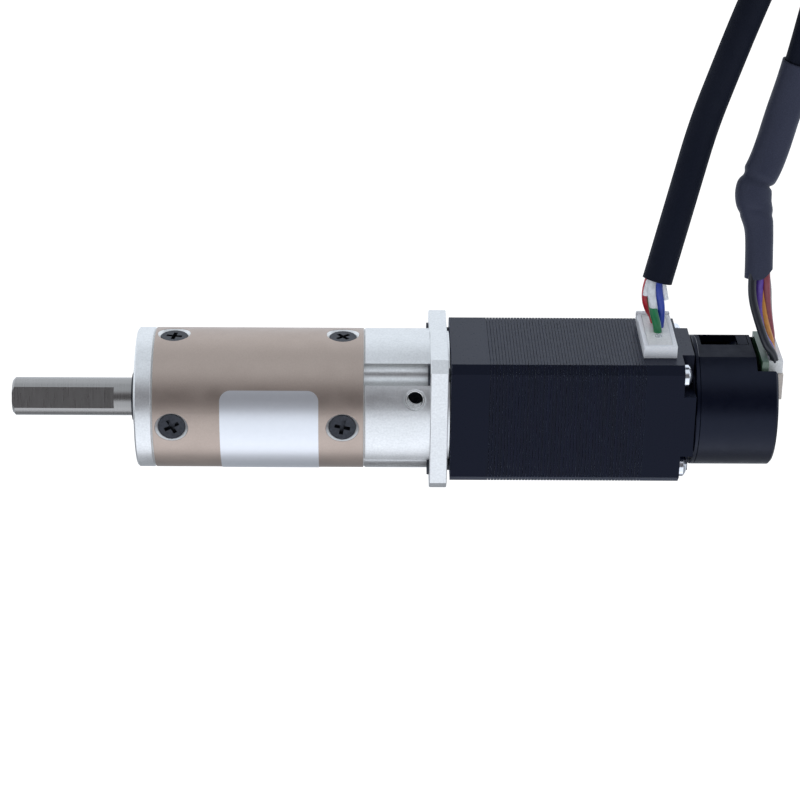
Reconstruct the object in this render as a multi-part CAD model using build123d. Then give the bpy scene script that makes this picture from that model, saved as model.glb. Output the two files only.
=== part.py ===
from build123d import *
import math
import os

os.makedirs("parts", exist_ok=True)

# Small geared stepper motor with a rear encoder, lying on its side.
# X runs along the output shaft towards the encoder, Y towards the connectors, Z is up.
# The origin is the centre of the gearbox's front mounting face. All sizes are millimetres.

# Outside of the gearbox
gearbox_diameter = 22.0
plate_thickness = 2.8
tube_length = 32.6
adapter_length = 10.2
flange_width = 22.0
flange_thickness = 2.75
flange_corner_cut = 1.6
flange_register_diameter = 21.2
flange_register_height = 0.3
rim_chamfer = 0.25
tube_wall = 2.0
front_spigot_length = 6.9
adapter_spigot_floor = 3.2

# Output shaft
shaft_diameter = 6.0
shaft_reach = 19.8
shaft_flat_depth = 0.5
shaft_flat_length = 16.0
shaft_flat_angle = 69.5
shaft_tip_chamfer = 0.4
retaining_ring_diameter = 7.5
retaining_ring_thickness = 0.5
ring_groove_depth = 0.3

# Bearings
output_bearing_diameter = 13.0
output_bearing_width = 5.0
output_bearing_stand_out = 0.5
output_spacer_width = 0.3
output_spacer_wall = 1.2
input_bearing_diameter = 12.0
input_bearing_width = 3.5
input_journal_diameter = 8.0
motor_bearing_diameter = 9.0
motor_bearing_width = 4.0
race_thickness_share = 0.23
shield_thickness = 0.25
shield_gap = 0.1

# Planetary gear train, two equal stages in one fixed internal ring
pressure_angle = 20.0
sun_teeth = 12
planet_teeth = 15
ring_teeth = 42
planet_count = 3
first_planet_angle = 90.0
outer_addendum = 0.8
ring_addendum = 0.7
ring_margin_teeth = 3
dedendum = 1.1
tooth_thinning = 0.05
planet_width = 4.3
planet_side_gap = 0.2
planet_pin_diameter = 2.0
carrier_thickness = 2.6
carrier_edge_gap = 0.5
carrier_shoulder_diameter = 7.8
carrier_shoulder_length = 0.3
thrust_plate_thickness = 0.6
thrust_plate_gap = 1.1
thrust_plate_bore = 6.6

# Input pinion, clamped on the motor shaft
clamp_diameter = 11.0
clamp_room_diameter = 14.0
clamp_start_gap = 1.0
clamp_end_gap = 0.75
pinion_neck_diameter = 3.8
set_screw_diameter = 2.5
set_screw_length = 3.4
set_screw_from_flange = 2.35
access_hole_diameter = 2.95
access_hole_rim = 3.5
access_angle = 66.0

# Fasteners
small_screw_diameter = 2.0
radial_screw_tip_gap = 0.15
radial_head_diameter = 4.1
radial_head_recess = 0.45
radial_screw_inset = 3.0
head_cone_height = 1.05
front_bolt_inset = 2.5
front_bolt_hole_diameter = 2.1
front_bolt_hole_depth = 2.1
drill_point_height = 0.35
corner_screw_spacing = 15.4
adapter_groove_diameter = 3.6
flange_screw_head_diameter = 3.4
flange_screw_head_height = 0.35
flange_screw_length = 4.9
case_screw_head_diameter = 3.6
case_screw_head_height = 1.25
case_screw_bite = 2.6

# Motor
motor_width = 20.0
motor_corner_cut = 1.2
motor_gap = 0.5
motor_pilot_diameter = 15.0
motor_pilot_height = 1.5
front_cap_length = 5.5
stack_length = 24.3
rear_cap_length = 7.85
rear_land_width = 10.2
rear_notch_depth = 1.9
motor_shaft_diameter = 4.0
motor_shaft_front = 14.5
motor_shaft_rear = 2.1
motor_shaft_flat_depth = 0.4
winding_room_depth = 2.5
winding_room_diameter = 17.4
bearing_hub_diameter = 10.6
bearing_wall = 1.1
pole_count = 8
rotor_diameter = 10.1
air_gap = 0.1
pole_shank_width = 2.0
pole_shoe_width = 3.0
pole_shoe_height = 0.7
back_iron_diameter = 17.0
rotor_teeth = 50
rotor_tooth_depth = 0.3
rotor_end_room = 1.8
rotor_magnet_length = 2.0
insulator_thickness = 0.4
coil_wall = 0.95
coil_end_rise = 1.5
wave_washer_thickness = 0.4

# Encoder
encoder_diameter = 20.4
encoder_base_length = 0.9
encoder_base_pad = 0.2
encoder_cover_length = 12.0
encoder_wall = 1.1
encoder_flat_height = 9.3
latch_width = 3.7
latch_side = -2.25
latch_thickness = 0.8
latch_hook_length = 1.6
board_thickness = 1.0
board_setback = 2.4
board_edge_gap = 0.4
cover_notch_length = 3.2
cover_notch_half_width = 6.4
cover_notch_depth = 3.2
sensor_size = 5.0
sensor_thickness = 1.0
sensor_gap = 1.0
encoder_magnet_diameter = 6.0
encoder_magnet_length = 2.5
magnet_holder_diameter = 7.4
base_screw_diameter = 1.6
base_screw_inset = 3.6
base_screw_head = 2.7
base_screw_land = 1.6
base_screw_length = 1.2

# Connectors on the motor
motor_socket_width = 5.2
motor_socket_length = 12.8
motor_socket_front = 0.05
motor_socket_top = 12.1
motor_socket_floor = 9.0
motor_socket_wall = 0.7
motor_plug_recess = 0.4
wire_seat_depth = 1.2
wire_pitch = 2.0
encoder_socket_length = 9.0
encoder_socket_depth = 2.6
encoder_socket_low = 2.2
encoder_socket_high = 6.5
encoder_plug_rise = 2.2
encoder_wire_pitch = 1.5
wire_diameter = 1.15

# Leads
motor_lead_diameter = 4.8
encoder_lead_diameter = 4.6
shrink_sleeve_diameter = 5.3
coil_diameters_across = 10.0
coil_top_start_angle = 330.0
coil_top_sweep = 230.0
coil_plug_angle = 200.0
tie_angles = [80.0, 170.0]
lead_tie_width = 3.0
lead_tie_thickness = 0.4
far_plug_length = 12.0
far_plug_width = 9.0
far_plug_height = 4.6
contact_hole = 1.2
contact_hole_height = 1.8
contact_hole_depth = 3.0
wire_bundle_lift = 2.4
label_front = 10.4
label_length = 15.2
label_thickness = 0.08
label_corner = 1.7
label_start_angle = 59.0
label_sweep = 131.0

# Clearances
seat_fit = 0.01
slide_fit = 0.02
running_fit = 0.03
thread_fit = 0.02
part_gap = 0.1

# Sizes that follow from the others
tube_bore = gearbox_diameter - 2 * tube_wall
gear_module = tube_bore / (ring_teeth + ring_margin_teeth)
radial_screw_room = (gearbox_diameter - max(output_bearing_diameter, input_bearing_diameter)) / 2
radial_screw_length = radial_screw_room - radial_head_recess - radial_screw_tip_gap
front_bolt_circle = gearbox_diameter - 2 * front_bolt_inset
base_screw_radius = encoder_diameter / 2 - base_screw_inset

# Places along X
plate_rear = plate_thickness
tube_rear = plate_rear + tube_length
flange_front = tube_rear + adapter_length
flange_rear = flange_front + flange_thickness
motor_front = flange_rear + motor_gap
stack_front = motor_front + front_cap_length
stack_rear = stack_front + stack_length
cap_rear = stack_rear + rear_cap_length
base_rear = cap_rear + encoder_base_length
cover_rear = base_rear + encoder_cover_length
spigot_rear = plate_rear + front_spigot_length
floor_height = -flange_width / 2

bearing_one_front = -output_bearing_stand_out
bearing_two_front = bearing_one_front + output_bearing_width + output_spacer_width
bearing_two_rear = bearing_two_front + output_bearing_width
output_carrier_front = bearing_two_rear + carrier_shoulder_length
output_carrier_rear = output_carrier_front + carrier_thickness
second_planet_front = output_carrier_rear + planet_side_gap
second_planet_rear = second_planet_front + planet_width
first_carrier_front = second_planet_rear + 2 * planet_side_gap
first_carrier_rear = first_carrier_front + carrier_thickness
first_planet_front = first_carrier_rear + planet_side_gap
first_planet_rear = first_planet_front + planet_width
thrust_front = first_planet_rear + thrust_plate_gap
adapter_spigot_front = thrust_front + thrust_plate_thickness
input_bearing_front = adapter_spigot_front + adapter_spigot_floor
input_bearing_rear = input_bearing_front + input_bearing_width
clamp_front = input_bearing_rear + clamp_start_gap
clamp_rear = motor_front - motor_pilot_height - clamp_end_gap
set_screw_x = flange_front - set_screw_from_flange
motor_shaft_tip = motor_front - motor_shaft_front
motor_shaft_end = cap_rear + motor_shaft_rear
motor_bearing_one = motor_front + bearing_wall
motor_bearing_two_rear = cap_rear - bearing_wall - wave_washer_thickness - 0.2
motor_bearing_two = motor_bearing_two_rear - motor_bearing_width
rotor_front = stack_front + rotor_end_room
rotor_rear = stack_rear - rotor_end_room
board_front = cover_rear - board_setback
board_rear = board_front + board_thickness
magnet_rear = board_front - sensor_thickness - sensor_gap
magnet_front = magnet_rear - encoder_magnet_length
notch_front = cover_rear - cover_notch_length
front_screw_x = plate_rear + radial_screw_inset
rear_screw_x = tube_rear - radial_screw_inset - 0.3

# Gear sizes from the module and the teeth
sun_pitch_radius = gear_module * sun_teeth / 2
planet_pitch_radius = gear_module * planet_teeth / 2
ring_pitch_radius = gear_module * ring_teeth / 2
planet_orbit = sun_pitch_radius + planet_pitch_radius
ring_tip_radius = ring_pitch_radius - ring_addendum * gear_module
carrier_radius = ring_tip_radius - carrier_edge_gap
planet_angles = [first_planet_angle + 360 / planet_count * k for k in range(planet_count)]
square_angles = [45, 135, 225, 315]
cross_angles = [0, 90, 180, 270]
corner_offset = corner_screw_spacing / 2


def plane_at(x, y=0.0, z=0.0):
    """A drawing plane across the X axis: its own x is Y and its own y is Z."""
    return Plane(origin=(x, y, z), x_dir=(0, 1, 0), z_dir=(1, 0, 0))


def bar(x_front, x_rear, diameter, y=0.0, z=0.0):
    """A round bar along X."""
    return extrude(plane_at(x_front, y, z) * Circle(diameter / 2), x_rear - x_front)


def collar(x_front, x_rear, outer_diameter, inner_diameter):
    """A plain ring along X."""
    profile = Circle(outer_diameter / 2) - Circle(inner_diameter / 2)
    return extrude(plane_at(x_front) * profile, x_rear - x_front)


def block(x_low, x_high, y_low, y_high, z_low, z_high):
    """A box given by its lowest and highest corners."""
    centre = ((x_low + x_high) / 2, (y_low + y_high) / 2, (z_low + z_high) / 2)
    return Pos(*centre) * Box(x_high - x_low, y_high - y_low, z_high - z_low)


def square_bar(x_front, x_rear, width, corner_cut):
    """A square bar along X with cut corners."""
    profile = chamfer(Rectangle(width, width).vertices(), corner_cut)
    return extrude(plane_at(x_front) * profile, x_rear - x_front)


def polar(radius, degrees):
    """Y and Z of a point at an angle measured from Y towards Z."""
    return radius * math.cos(math.radians(degrees)), radius * math.sin(math.radians(degrees))


def spun(profile_points):
    """A turned part: (x, radius) points revolved about the X axis."""
    return revolve(Plane.XY * make_face(Polyline(*profile_points, close=True)), Axis.X)


def around(piece, angles):
    """Copies of a piece turned about the X axis."""
    return [Rot(X=angle) * piece for angle in angles]


def save(name, *solids):
    """Write one node, from one solid or a group of separate solids."""
    shape = solids[0] if len(solids) == 1 else Compound(children=list(solids))
    export_step(shape, f"parts/{name}.step")


# Gear teeth

def involute(angle):
    return math.tan(angle) - angle


def gear_profile(teeth, tip_radius, root_radius, thickening, centre_angle):
    """A face with involute teeth, one tooth centred at centre_angle. Each flank is one arc."""
    pitch_radius = gear_module * teeth / 2
    base_radius = pitch_radius * math.cos(math.radians(pressure_angle))
    pitch_half = math.pi / (2 * teeth) + thickening / (2 * pitch_radius)
    flank_start = max(base_radius, root_radius)

    def half_angle(radius):
        slope = math.acos(min(1.0, base_radius / radius))
        return pitch_half + involute(math.radians(pressure_angle)) - involute(slope)

    def point(radius, angle):
        return radius * math.cos(angle), radius * math.sin(angle)

    middle_radius = (flank_start + tip_radius) / 2
    edges = []
    for tooth in range(teeth):
        centre = math.radians(centre_angle) + 2 * math.pi * tooth / teeth
        ends = []
        for side in (-1, 1):
            start = centre + side * half_angle(flank_start)
            middle = centre + side * half_angle(middle_radius)
            tip = centre + side * half_angle(tip_radius)
            if root_radius < flank_start:
                edges.append(Line(point(root_radius, start), point(flank_start, start)))
            edges.append(ThreePointArc(point(flank_start, start), point(middle_radius, middle),
                                       point(tip_radius, tip)))
            ends.append(tip)
        edges.append(ThreePointArc(point(tip_radius, ends[0]), point(tip_radius, centre),
                                   point(tip_radius, ends[1])))
        root_start = centre + half_angle(flank_start)
        root_end = centre + 2 * math.pi / teeth - half_angle(flank_start)
        edges.append(ThreePointArc(point(root_radius, root_start),
                                   point(root_radius, (root_start + root_end) / 2),
                                   point(root_radius, root_end)))
    return make_face(edges)


def outer_gear(teeth, x_front, x_rear, centre_angle):
    """A spur gear along X."""
    pitch_radius = gear_module * teeth / 2
    profile = gear_profile(teeth, pitch_radius + outer_addendum * gear_module,
                           pitch_radius - dedendum * gear_module, -tooth_thinning, centre_angle)
    return extrude(plane_at(x_front) * profile, x_rear - x_front)


def planet(x_front, angle):
    """One planet gear on its place, meshed with the sun and the ring."""
    y, z = polar(planet_orbit, angle)
    gear = outer_gear(planet_teeth, x_front, x_front + planet_width, angle)
    bore = bar(x_front, x_front + planet_width, planet_pin_diameter + 2 * running_fit)
    return Pos(0, y, z) * (gear - bore)


def planet_pins(x_front, x_rear):
    """The pins that carry the planets of one stage."""
    pins = []
    for angle in planet_angles:
        y, z = polar(planet_orbit, angle)
        pin = bar(x_front, x_rear, planet_pin_diameter, y, z)
        pins.append(chamfer(pin.edges().group_by(Axis.X)[-1], 0.15))
    return pins


def pin_holes(x_front, x_rear):
    holes = []
    for angle in planet_angles:
        y, z = polar(planet_orbit, angle)
        holes.append(bar(x_front, x_rear, planet_pin_diameter + 2 * seat_fit, y, z))
    return holes


# Bearings

def bearing_outer(x_front, width, outer_diameter, bore):
    """Outer race with its two shields, open round the inner race."""
    race = (outer_diameter - bore) / 2 * race_thickness_share
    race_inner = outer_diameter / 2 - race
    shield_inner = bore / 2 + race + shield_gap
    inside = x_front + shield_thickness
    outside = x_front + width - shield_thickness
    rim = 0.15
    return spun([
        (x_front, shield_inner), (x_front, outer_diameter / 2 - rim),
        (x_front + rim, outer_diameter / 2), (x_front + width - rim, outer_diameter / 2),
        (x_front + width, outer_diameter / 2 - rim), (x_front + width, shield_inner),
        (outside, shield_inner), (outside, race_inner), (inside, race_inner), (inside, shield_inner)])


def bearing_inner(x_front, width, outer_diameter, bore):
    """Inner race."""
    race = (outer_diameter - bore) / 2 * race_thickness_share
    return collar(x_front, x_front + width, bore + 2 * race, bore + 2 * seat_fit)


# Screws. Each is drawn along +X from its head and then turned to its place.

def cross_recess(x_head, size, depth):
    arm = size / 4
    across = block(x_head, x_head + depth, -size / 2, size / 2, -arm / 2, arm / 2)
    return across + block(x_head, x_head + depth, -arm / 2, arm / 2, -size / 2, size / 2)


def countersunk_screw(turn):
    """Cross-recessed countersunk screw with its head's face at x = 0."""
    head = radial_head_diameter / 2
    shank = small_screw_diameter / 2
    body = spun([(0, 0), (0, head), (0.12, head), (head_cone_height, shank),
                 (radial_screw_length - 0.2, shank), (radial_screw_length, shank - 0.2),
                 (radial_screw_length, 0)])
    return body - Rot(X=turn) * cross_recess(0, radial_head_diameter * 0.6, 0.8)


def radial_screws(x, turns):
    """Four countersunk screws pointing at the axis, square to the motor's faces."""
    face_radius = gearbox_diameter / 2 - radial_head_recess
    screws = []
    for angle, turn in zip(cross_angles, turns):
        inward = Rot(Z=-90) * countersunk_screw(turn)
        screws.append(Rot(X=angle) * Pos(x, face_radius, 0) * inward)
    return screws


def radial_screw_holes(x):
    """Countersunk clearance holes in the tube wall."""
    surface = gearbox_diameter / 2
    widest = radial_head_diameter / 2 + radial_head_recess
    slack = running_fit
    shank = small_screw_diameter / 2 + 2 * slack
    profile = [(surface + 1, 0), (surface + 1, widest + 1),
               (surface - radial_head_recess - 0.12, radial_head_diameter / 2 + slack),
               (surface - radial_head_recess - head_cone_height - slack, shank),
               (tube_bore / 2 - 1, shank), (tube_bore / 2 - 1, 0)]
    cutter = Pos(x, 0, 0) * Rot(Z=90) * spun(profile)
    return around(cutter, cross_angles)


def radial_thread_holes(x, inner_radius):
    """Threaded holes through a spigot wall."""
    reach = tube_bore / 2 + 1 - inner_radius
    hole = Pos(x, inner_radius, 0) * Rot(Z=90) * bar(0, reach, small_screw_diameter + 2 * thread_fit)
    return around(hole, cross_angles)


def pan_screw(x_head, length, y, z):
    """Cross-recessed pan-head screw, its head at the rear and its shank towards the output."""
    head = case_screw_head_diameter / 2
    shank = small_screw_diameter / 2
    crown = case_screw_head_height * 0.45
    x_top = x_head + case_screw_head_height
    profile = Plane.XY * make_face([
        Line((x_head - length, 0), (x_head - length, shank)),
        Line((x_head - length, shank), (x_head, shank)),
        Line((x_head, shank), (x_head, head)),
        Line((x_head, head), (x_top - crown, head)),
        ThreePointArc((x_top - crown, head), (x_top - crown * 0.25, head * 0.72), (x_top, 0)),
        Line((x_top, 0), (x_head - length, 0))])
    slot = cross_recess(x_top - 0.8, case_screw_head_diameter * 0.6, 1.0)
    return Pos(0, y, z) * (revolve(profile, Axis.X) - Rot(X=30) * slot)


def corner_places():
    return [(sy * corner_offset, sz * corner_offset) for sy in (-1, 1) for sz in (-1, 1)]


def corner_holes(x_front, x_rear, diameter):
    return [bar(x_front, x_rear, diameter, y, z) for y, z in corner_places()]


# Gearbox housing

def make_front_plate():
    body = bar(0, plate_rear, gearbox_diameter)
    body = chamfer(body.edges().filter_by(GeomType.CIRCLE), rim_chamfer)
    body += bar(plate_rear, spigot_rear, tube_bore - 2 * slide_fit)
    body -= bar(0, spigot_rear, output_bearing_diameter + 2 * seat_fit)
    wall = front_bolt_hole_diameter / 2
    bolt_hole = spun([(0, 0), (0, wall), (front_bolt_hole_depth, wall),
                      (front_bolt_hole_depth + drill_point_height, 0)])
    for angle in square_angles:
        y, z = polar(front_bolt_circle / 2, angle)
        body -= Pos(0, y, z) * bolt_hole
    for hole in radial_thread_holes(front_screw_x, output_bearing_diameter / 2 - 0.5):
        body -= hole
    return body


def make_gear_tube():
    """Outer tube with the internal ring gear cut in its middle."""
    body = bar(plate_rear, tube_rear, gearbox_diameter)
    body = chamfer(body.edges().filter_by(GeomType.CIRCLE), rim_chamfer / 2)
    body -= bar(plate_rear, spigot_rear + part_gap, tube_bore)
    body -= bar(thrust_front, tube_rear, tube_bore)
    space = gear_profile(ring_teeth, ring_pitch_radius + dedendum * gear_module, ring_tip_radius,
                         tooth_thinning, first_planet_angle)
    body -= extrude(plane_at(plate_rear) * space, tube_length)
    for hole in radial_screw_holes(front_screw_x) + radial_screw_holes(rear_screw_x):
        body -= hole
    return body


def make_adapter():
    """Adapter between gear tube and motor: spigot, grooved cylinder and square flange."""
    body = bar(tube_rear, flange_front, gearbox_diameter)
    body = chamfer(body.edges().filter_by(GeomType.CIRCLE).group_by(Axis.X)[0], rim_chamfer)
    for y, z in corner_places():
        body -= bar(tube_rear, flange_front, adapter_groove_diameter, y, z)
    flange = square_bar(flange_front, flange_rear, flange_width, flange_corner_cut)
    faces = flange.faces().filter_by(Axis.X)
    body += chamfer(faces.edges(), rim_chamfer / 2)
    body += bar(flange_rear, flange_rear + flange_register_height, flange_register_diameter)
    body += bar(adapter_spigot_front, tube_rear, tube_bore - 2 * slide_fit)
    rear = flange_rear + flange_register_height
    body -= bar(adapter_spigot_front, rear, input_journal_diameter + 1.2)
    body -= bar(input_bearing_front, rear, input_bearing_diameter + 2 * seat_fit)
    body -= bar(input_bearing_rear + 0.2, rear, clamp_room_diameter)
    pilot_seat = motor_front - motor_pilot_height - part_gap
    body -= bar(pilot_seat, rear, motor_pilot_diameter + 2 * slide_fit)
    for hole in corner_holes(flange_front, rear, small_screw_diameter + 2 * part_gap):
        body -= hole
    for hole in radial_thread_holes(rear_screw_x, input_bearing_diameter / 2 + part_gap):
        body -= hole
    surface = gearbox_diameter / 2
    access = spun([(0, 0), (0, access_hole_diameter / 2), (surface - 0.35, access_hole_diameter / 2),
                   (surface - 0.05, access_hole_rim / 2), (surface + 1, access_hole_rim / 2),
                   (surface + 1, 0)])
    body -= Rot(X=access_angle) * Pos(set_screw_x, 0, 0) * Rot(Z=90) * access
    return body


def make_label():
    """Thin wrapped label on the tube, with round corners."""
    surface = gearbox_diameter / 2
    front = plate_rear + label_front
    ring = collar(front, front + label_length, gearbox_diameter + 2 * label_thickness, gearbox_diameter)
    wide = Plane.XY * Pos(front + label_length / 2, surface) * Rectangle(label_length, surface)
    piece = ring & (Rot(X=label_start_angle) * revolve(wide, Axis.X, revolution_arc=label_sweep))
    corner = block(0, label_corner + 1, surface - 1, surface + 1, 0, label_corner + 1)
    corner -= Rot(Z=90) * bar(surface - 2, surface + 2, 2 * label_corner)
    turn = math.degrees(label_corner / surface)
    for edge, side in ((label_start_angle + turn, -1), (label_start_angle + label_sweep - turn, 1)):
        for x, end in ((front + label_corner, -1), (front + label_length - label_corner, 1)):
            cutter = corner if end > 0 else mirror(corner, Plane.YZ)
            cutter = cutter if side > 0 else mirror(cutter, Plane.XY)
            piece -= Rot(X=edge) * Pos(x, 0, 0) * cutter
    return piece


# Gear train

def make_output_shaft():
    """Output shaft and second-stage carrier in one piece."""
    shaft = bar(-shaft_reach, output_carrier_front, shaft_diameter)
    shaft = chamfer(shaft.edges().group_by(Axis.X)[0], shaft_tip_chamfer)
    ring_front = bearing_one_front - retaining_ring_thickness
    shaft -= collar(ring_front, bearing_one_front, shaft_diameter + 1,
                    shaft_diameter - 2 * ring_groove_depth)
    flat_plane = shaft_diameter / 2 - shaft_flat_depth
    cutter = block(-shaft_reach - 1, -shaft_reach + shaft_flat_length, flat_plane, shaft_diameter,
                   -shaft_diameter, shaft_diameter)
    shaft -= Rot(X=shaft_flat_angle) * cutter
    disk = bar(output_carrier_front, output_carrier_rear, 2 * carrier_radius)
    disk = chamfer(disk.edges().filter_by(GeomType.CIRCLE), rim_chamfer)
    shoulder = bar(output_carrier_front - carrier_shoulder_length, output_carrier_front,
                   carrier_shoulder_diameter)
    body = shaft + disk + shoulder
    for hole in pin_holes(output_carrier_front + 0.3, output_carrier_rear):
        body -= hole
    return body


def make_first_carrier():
    """First-stage carrier with the second-stage sun on its front."""
    disk = bar(first_carrier_front, first_carrier_rear, 2 * carrier_radius)
    disk = chamfer(disk.edges().filter_by(GeomType.CIRCLE), rim_chamfer)
    body = disk + outer_gear(sun_teeth, second_planet_front, first_carrier_front, first_planet_angle)
    for hole in pin_holes(first_carrier_front + 0.3, first_carrier_rear):
        body -= hole
    return body


def make_input_pinion():
    """First-stage sun, its journal and the clamp on the motor shaft."""
    root = 2 * (sun_pitch_radius - dedendum * gear_module)
    body = outer_gear(sun_teeth, first_planet_front, first_planet_rear + 0.1, first_planet_angle)
    body += bar(first_planet_rear, input_bearing_front - 1.4, min(pinion_neck_diameter, root))
    body += bar(input_bearing_front - 1.4, clamp_front, input_journal_diameter)
    clamp = bar(clamp_front, clamp_rear, clamp_diameter)
    body += chamfer(clamp.edges().filter_by(GeomType.CIRCLE), rim_chamfer)
    body -= bar(motor_shaft_tip - 0.5, clamp_rear, motor_shaft_diameter + 2 * seat_fit)
    hole = Pos(set_screw_x, 0, 0) * Rot(Z=90) * bar(0, clamp_diameter, set_screw_diameter + 2 * thread_fit)
    return body - Rot(X=access_angle) * hole


def make_set_screw():
    tip = motor_shaft_diameter / 2 - motor_shaft_flat_depth + slide_fit
    screw = bar(tip, tip + set_screw_length, set_screw_diameter)
    socket = extrude(plane_at(tip + set_screw_length) * RegularPolygon(0.72, 6), -1.0)
    return Rot(X=access_angle) * Pos(set_screw_x, 0, 0) * Rot(Z=90) * (screw - socket)


# Motor

def make_front_cap():
    body = square_bar(motor_front, stack_front, motor_width, motor_corner_cut)
    body += bar(motor_front - motor_pilot_height, motor_front, motor_pilot_diameter)
    body -= bar(motor_front - motor_pilot_height, stack_front, motor_shaft_diameter + 0.8)
    body -= bar(motor_bearing_one, stack_front, motor_bearing_diameter + 2 * seat_fit)
    body -= collar(stack_front - winding_room_depth, stack_front, winding_room_diameter, bearing_hub_diameter)
    body -= bar(stack_front - insulator_thickness - part_gap, stack_front, winding_room_diameter)
    for hole in corner_holes(motor_front, stack_front, small_screw_diameter + 2 * thread_fit):
        body -= hole
    return body


def pole_profile(ring_diameter):
    """Ring with eight inward poles and their shoes."""
    bore = rotor_diameter / 2 + air_gap
    outside = back_iron_diameter / 2
    shank = Pos((bore + outside) / 2, 0) * Rectangle(outside - bore + 0.4, pole_shank_width)
    shoe = Pos(bore + pole_shoe_height / 2, 0) * Rectangle(pole_shoe_height + 0.4, pole_shoe_width)
    slots = Circle(outside)
    for pole in range(pole_count):
        slots -= Rot(Z=360 / pole_count * pole) * (shank + shoe)
    return slots + Circle(bore), Circle(ring_diameter / 2)


def make_stack():
    body = square_bar(stack_front, stack_rear, motor_width, motor_corner_cut)
    slots, _ = pole_profile(back_iron_diameter)
    body -= extrude(plane_at(stack_front) * slots, stack_length)
    for hole in corner_holes(stack_front, stack_rear, small_screw_diameter + 2 * part_gap):
        body -= hole
    return body


def make_insulator(x_front):
    slots, outside = pole_profile(back_iron_diameter + 0.3)
    return extrude(plane_at(x_front) * (outside - slots), insulator_thickness)


def make_windings():
    """One copper coil round each pole."""
    inside = rotor_diameter / 2 + air_gap + pole_shoe_height + 0.3
    outside = back_iron_diameter / 2 - 0.3
    half = pole_shank_width / 2 + part_gap
    low = stack_front - insulator_thickness - part_gap
    high = stack_rear + insulator_thickness + part_gap
    shell = block(low - coil_end_rise, high + coil_end_rise, inside, outside,
                  -half - coil_wall, half + coil_wall)
    shell = fillet(shell.edges().filter_by(Axis.Y), 0.6)
    coil = shell - block(low, high, inside - 1, outside + 1, -half, half)
    return around(coil, [360 / pole_count * pole for pole in range(pole_count)])


def make_rear_cap():
    body = square_bar(stack_rear, cap_rear, motor_width, motor_corner_cut)
    half = motor_width / 2
    land = rear_land_width / 2
    for sy in (-1, 1):
        for sz in (-1, 1):
            y_low, y_high = sorted((sy * land, sy * (half + 1)))
            z_low, z_high = sorted((sz * land, sz * (half + 1)))
            body -= block(cap_rear - rear_notch_depth, cap_rear + 1, y_low, y_high, z_low, z_high)
    body -= bar(stack_rear, motor_bearing_two_rear + wave_washer_thickness + 0.2,
                motor_bearing_diameter + 2 * seat_fit)
    body -= bar(stack_rear, cap_rear, motor_shaft_diameter + 0.8)
    body -= collar(stack_rear, stack_rear + winding_room_depth, winding_room_diameter, bearing_hub_diameter)
    body -= bar(stack_rear, stack_rear + insulator_thickness + part_gap, winding_room_diameter)
    for hole in corner_holes(stack_rear, cap_rear, small_screw_diameter + 2 * part_gap):
        body -= hole
    front = stack_rear + motor_socket_front
    inset = motor_socket_wall / 2
    body -= block(front + inset, front + motor_socket_width - inset, motor_socket_floor, half + 1,
                  -motor_socket_length / 2 + inset, motor_socket_length / 2 - inset)
    for angle in (90, 270):
        y, z = polar(base_screw_radius, angle)
        body -= bar(cap_rear - base_screw_length - 0.2, cap_rear, base_screw_diameter + 2 * thread_fit, y, z)
    return body


def make_motor_shaft():
    body = bar(motor_shaft_tip, motor_shaft_end, motor_shaft_diameter)
    body = chamfer(body.edges().filter_by(GeomType.CIRCLE), 0.2)
    flat_plane = motor_shaft_diameter / 2 - motor_shaft_flat_depth
    cutter = block(motor_shaft_tip - 1, clamp_rear, flat_plane, motor_shaft_diameter,
                   -motor_shaft_diameter, motor_shaft_diameter)
    return body - Rot(X=access_angle) * cutter


def make_rotor_core(x_front, x_rear, turn):
    """Toothed rotor cup."""
    tip = rotor_diameter / 2
    step = 360 / rotor_teeth
    profile = Circle(tip)
    slot_width = math.pi * rotor_diameter / rotor_teeth * 0.55
    slot = Pos(tip, 0) * Rectangle(2 * rotor_tooth_depth, slot_width)
    profile -= [Rot(Z=step * tooth + turn) * slot for tooth in range(rotor_teeth)]
    profile -= Circle(motor_shaft_diameter / 2 + seat_fit)
    return extrude(plane_at(x_front) * profile, x_rear - x_front)


# Encoder

def make_encoder_base():
    """Base disc on the motor's rear land, with the cover's locating lip and snap arm."""
    outside = encoder_diameter - 2 * encoder_wall - 2 * slide_fit
    disc_front = cap_rear + encoder_base_pad
    body = bar(disc_front, base_rear, encoder_diameter)
    body = chamfer(body.edges().filter_by(GeomType.CIRCLE), 0.12)
    body += bar(cap_rear, disc_front, 2 * base_screw_radius + 2 * base_screw_land)
    lip = collar(base_rear, base_rear + 1.2, outside, outside - 1.4)
    body += lip & block(cap_rear, cover_rear, -encoder_diameter, encoder_flat_height - 1.4,
                        -encoder_diameter, encoder_diameter)
    arm_top = encoder_flat_height - 1.6
    half = latch_width / 2 - part_gap
    hook_rear = notch_front - 0.6
    hook_front = hook_rear - latch_hook_length
    arm_profile = Polyline(
        (base_rear - 0.2, arm_top - latch_thickness), (hook_rear, arm_top - latch_thickness),
        (hook_rear, encoder_flat_height), (hook_front, encoder_flat_height),
        (hook_front, arm_top + 0.9), (hook_front - 1.3, arm_top), (base_rear - 0.2, arm_top), close=True)
    arm = extrude(Plane.XY.offset(latch_side - half) * make_face(arm_profile), 2 * half)
    body += arm
    body -= bar(cap_rear, base_rear, magnet_holder_diameter + 1.0)
    for angle in (90, 270):
        y, z = polar(base_screw_radius, angle)
        body -= bar(cap_rear, base_rear, base_screw_diameter + 2 * part_gap, y, z)
    return body


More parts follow.
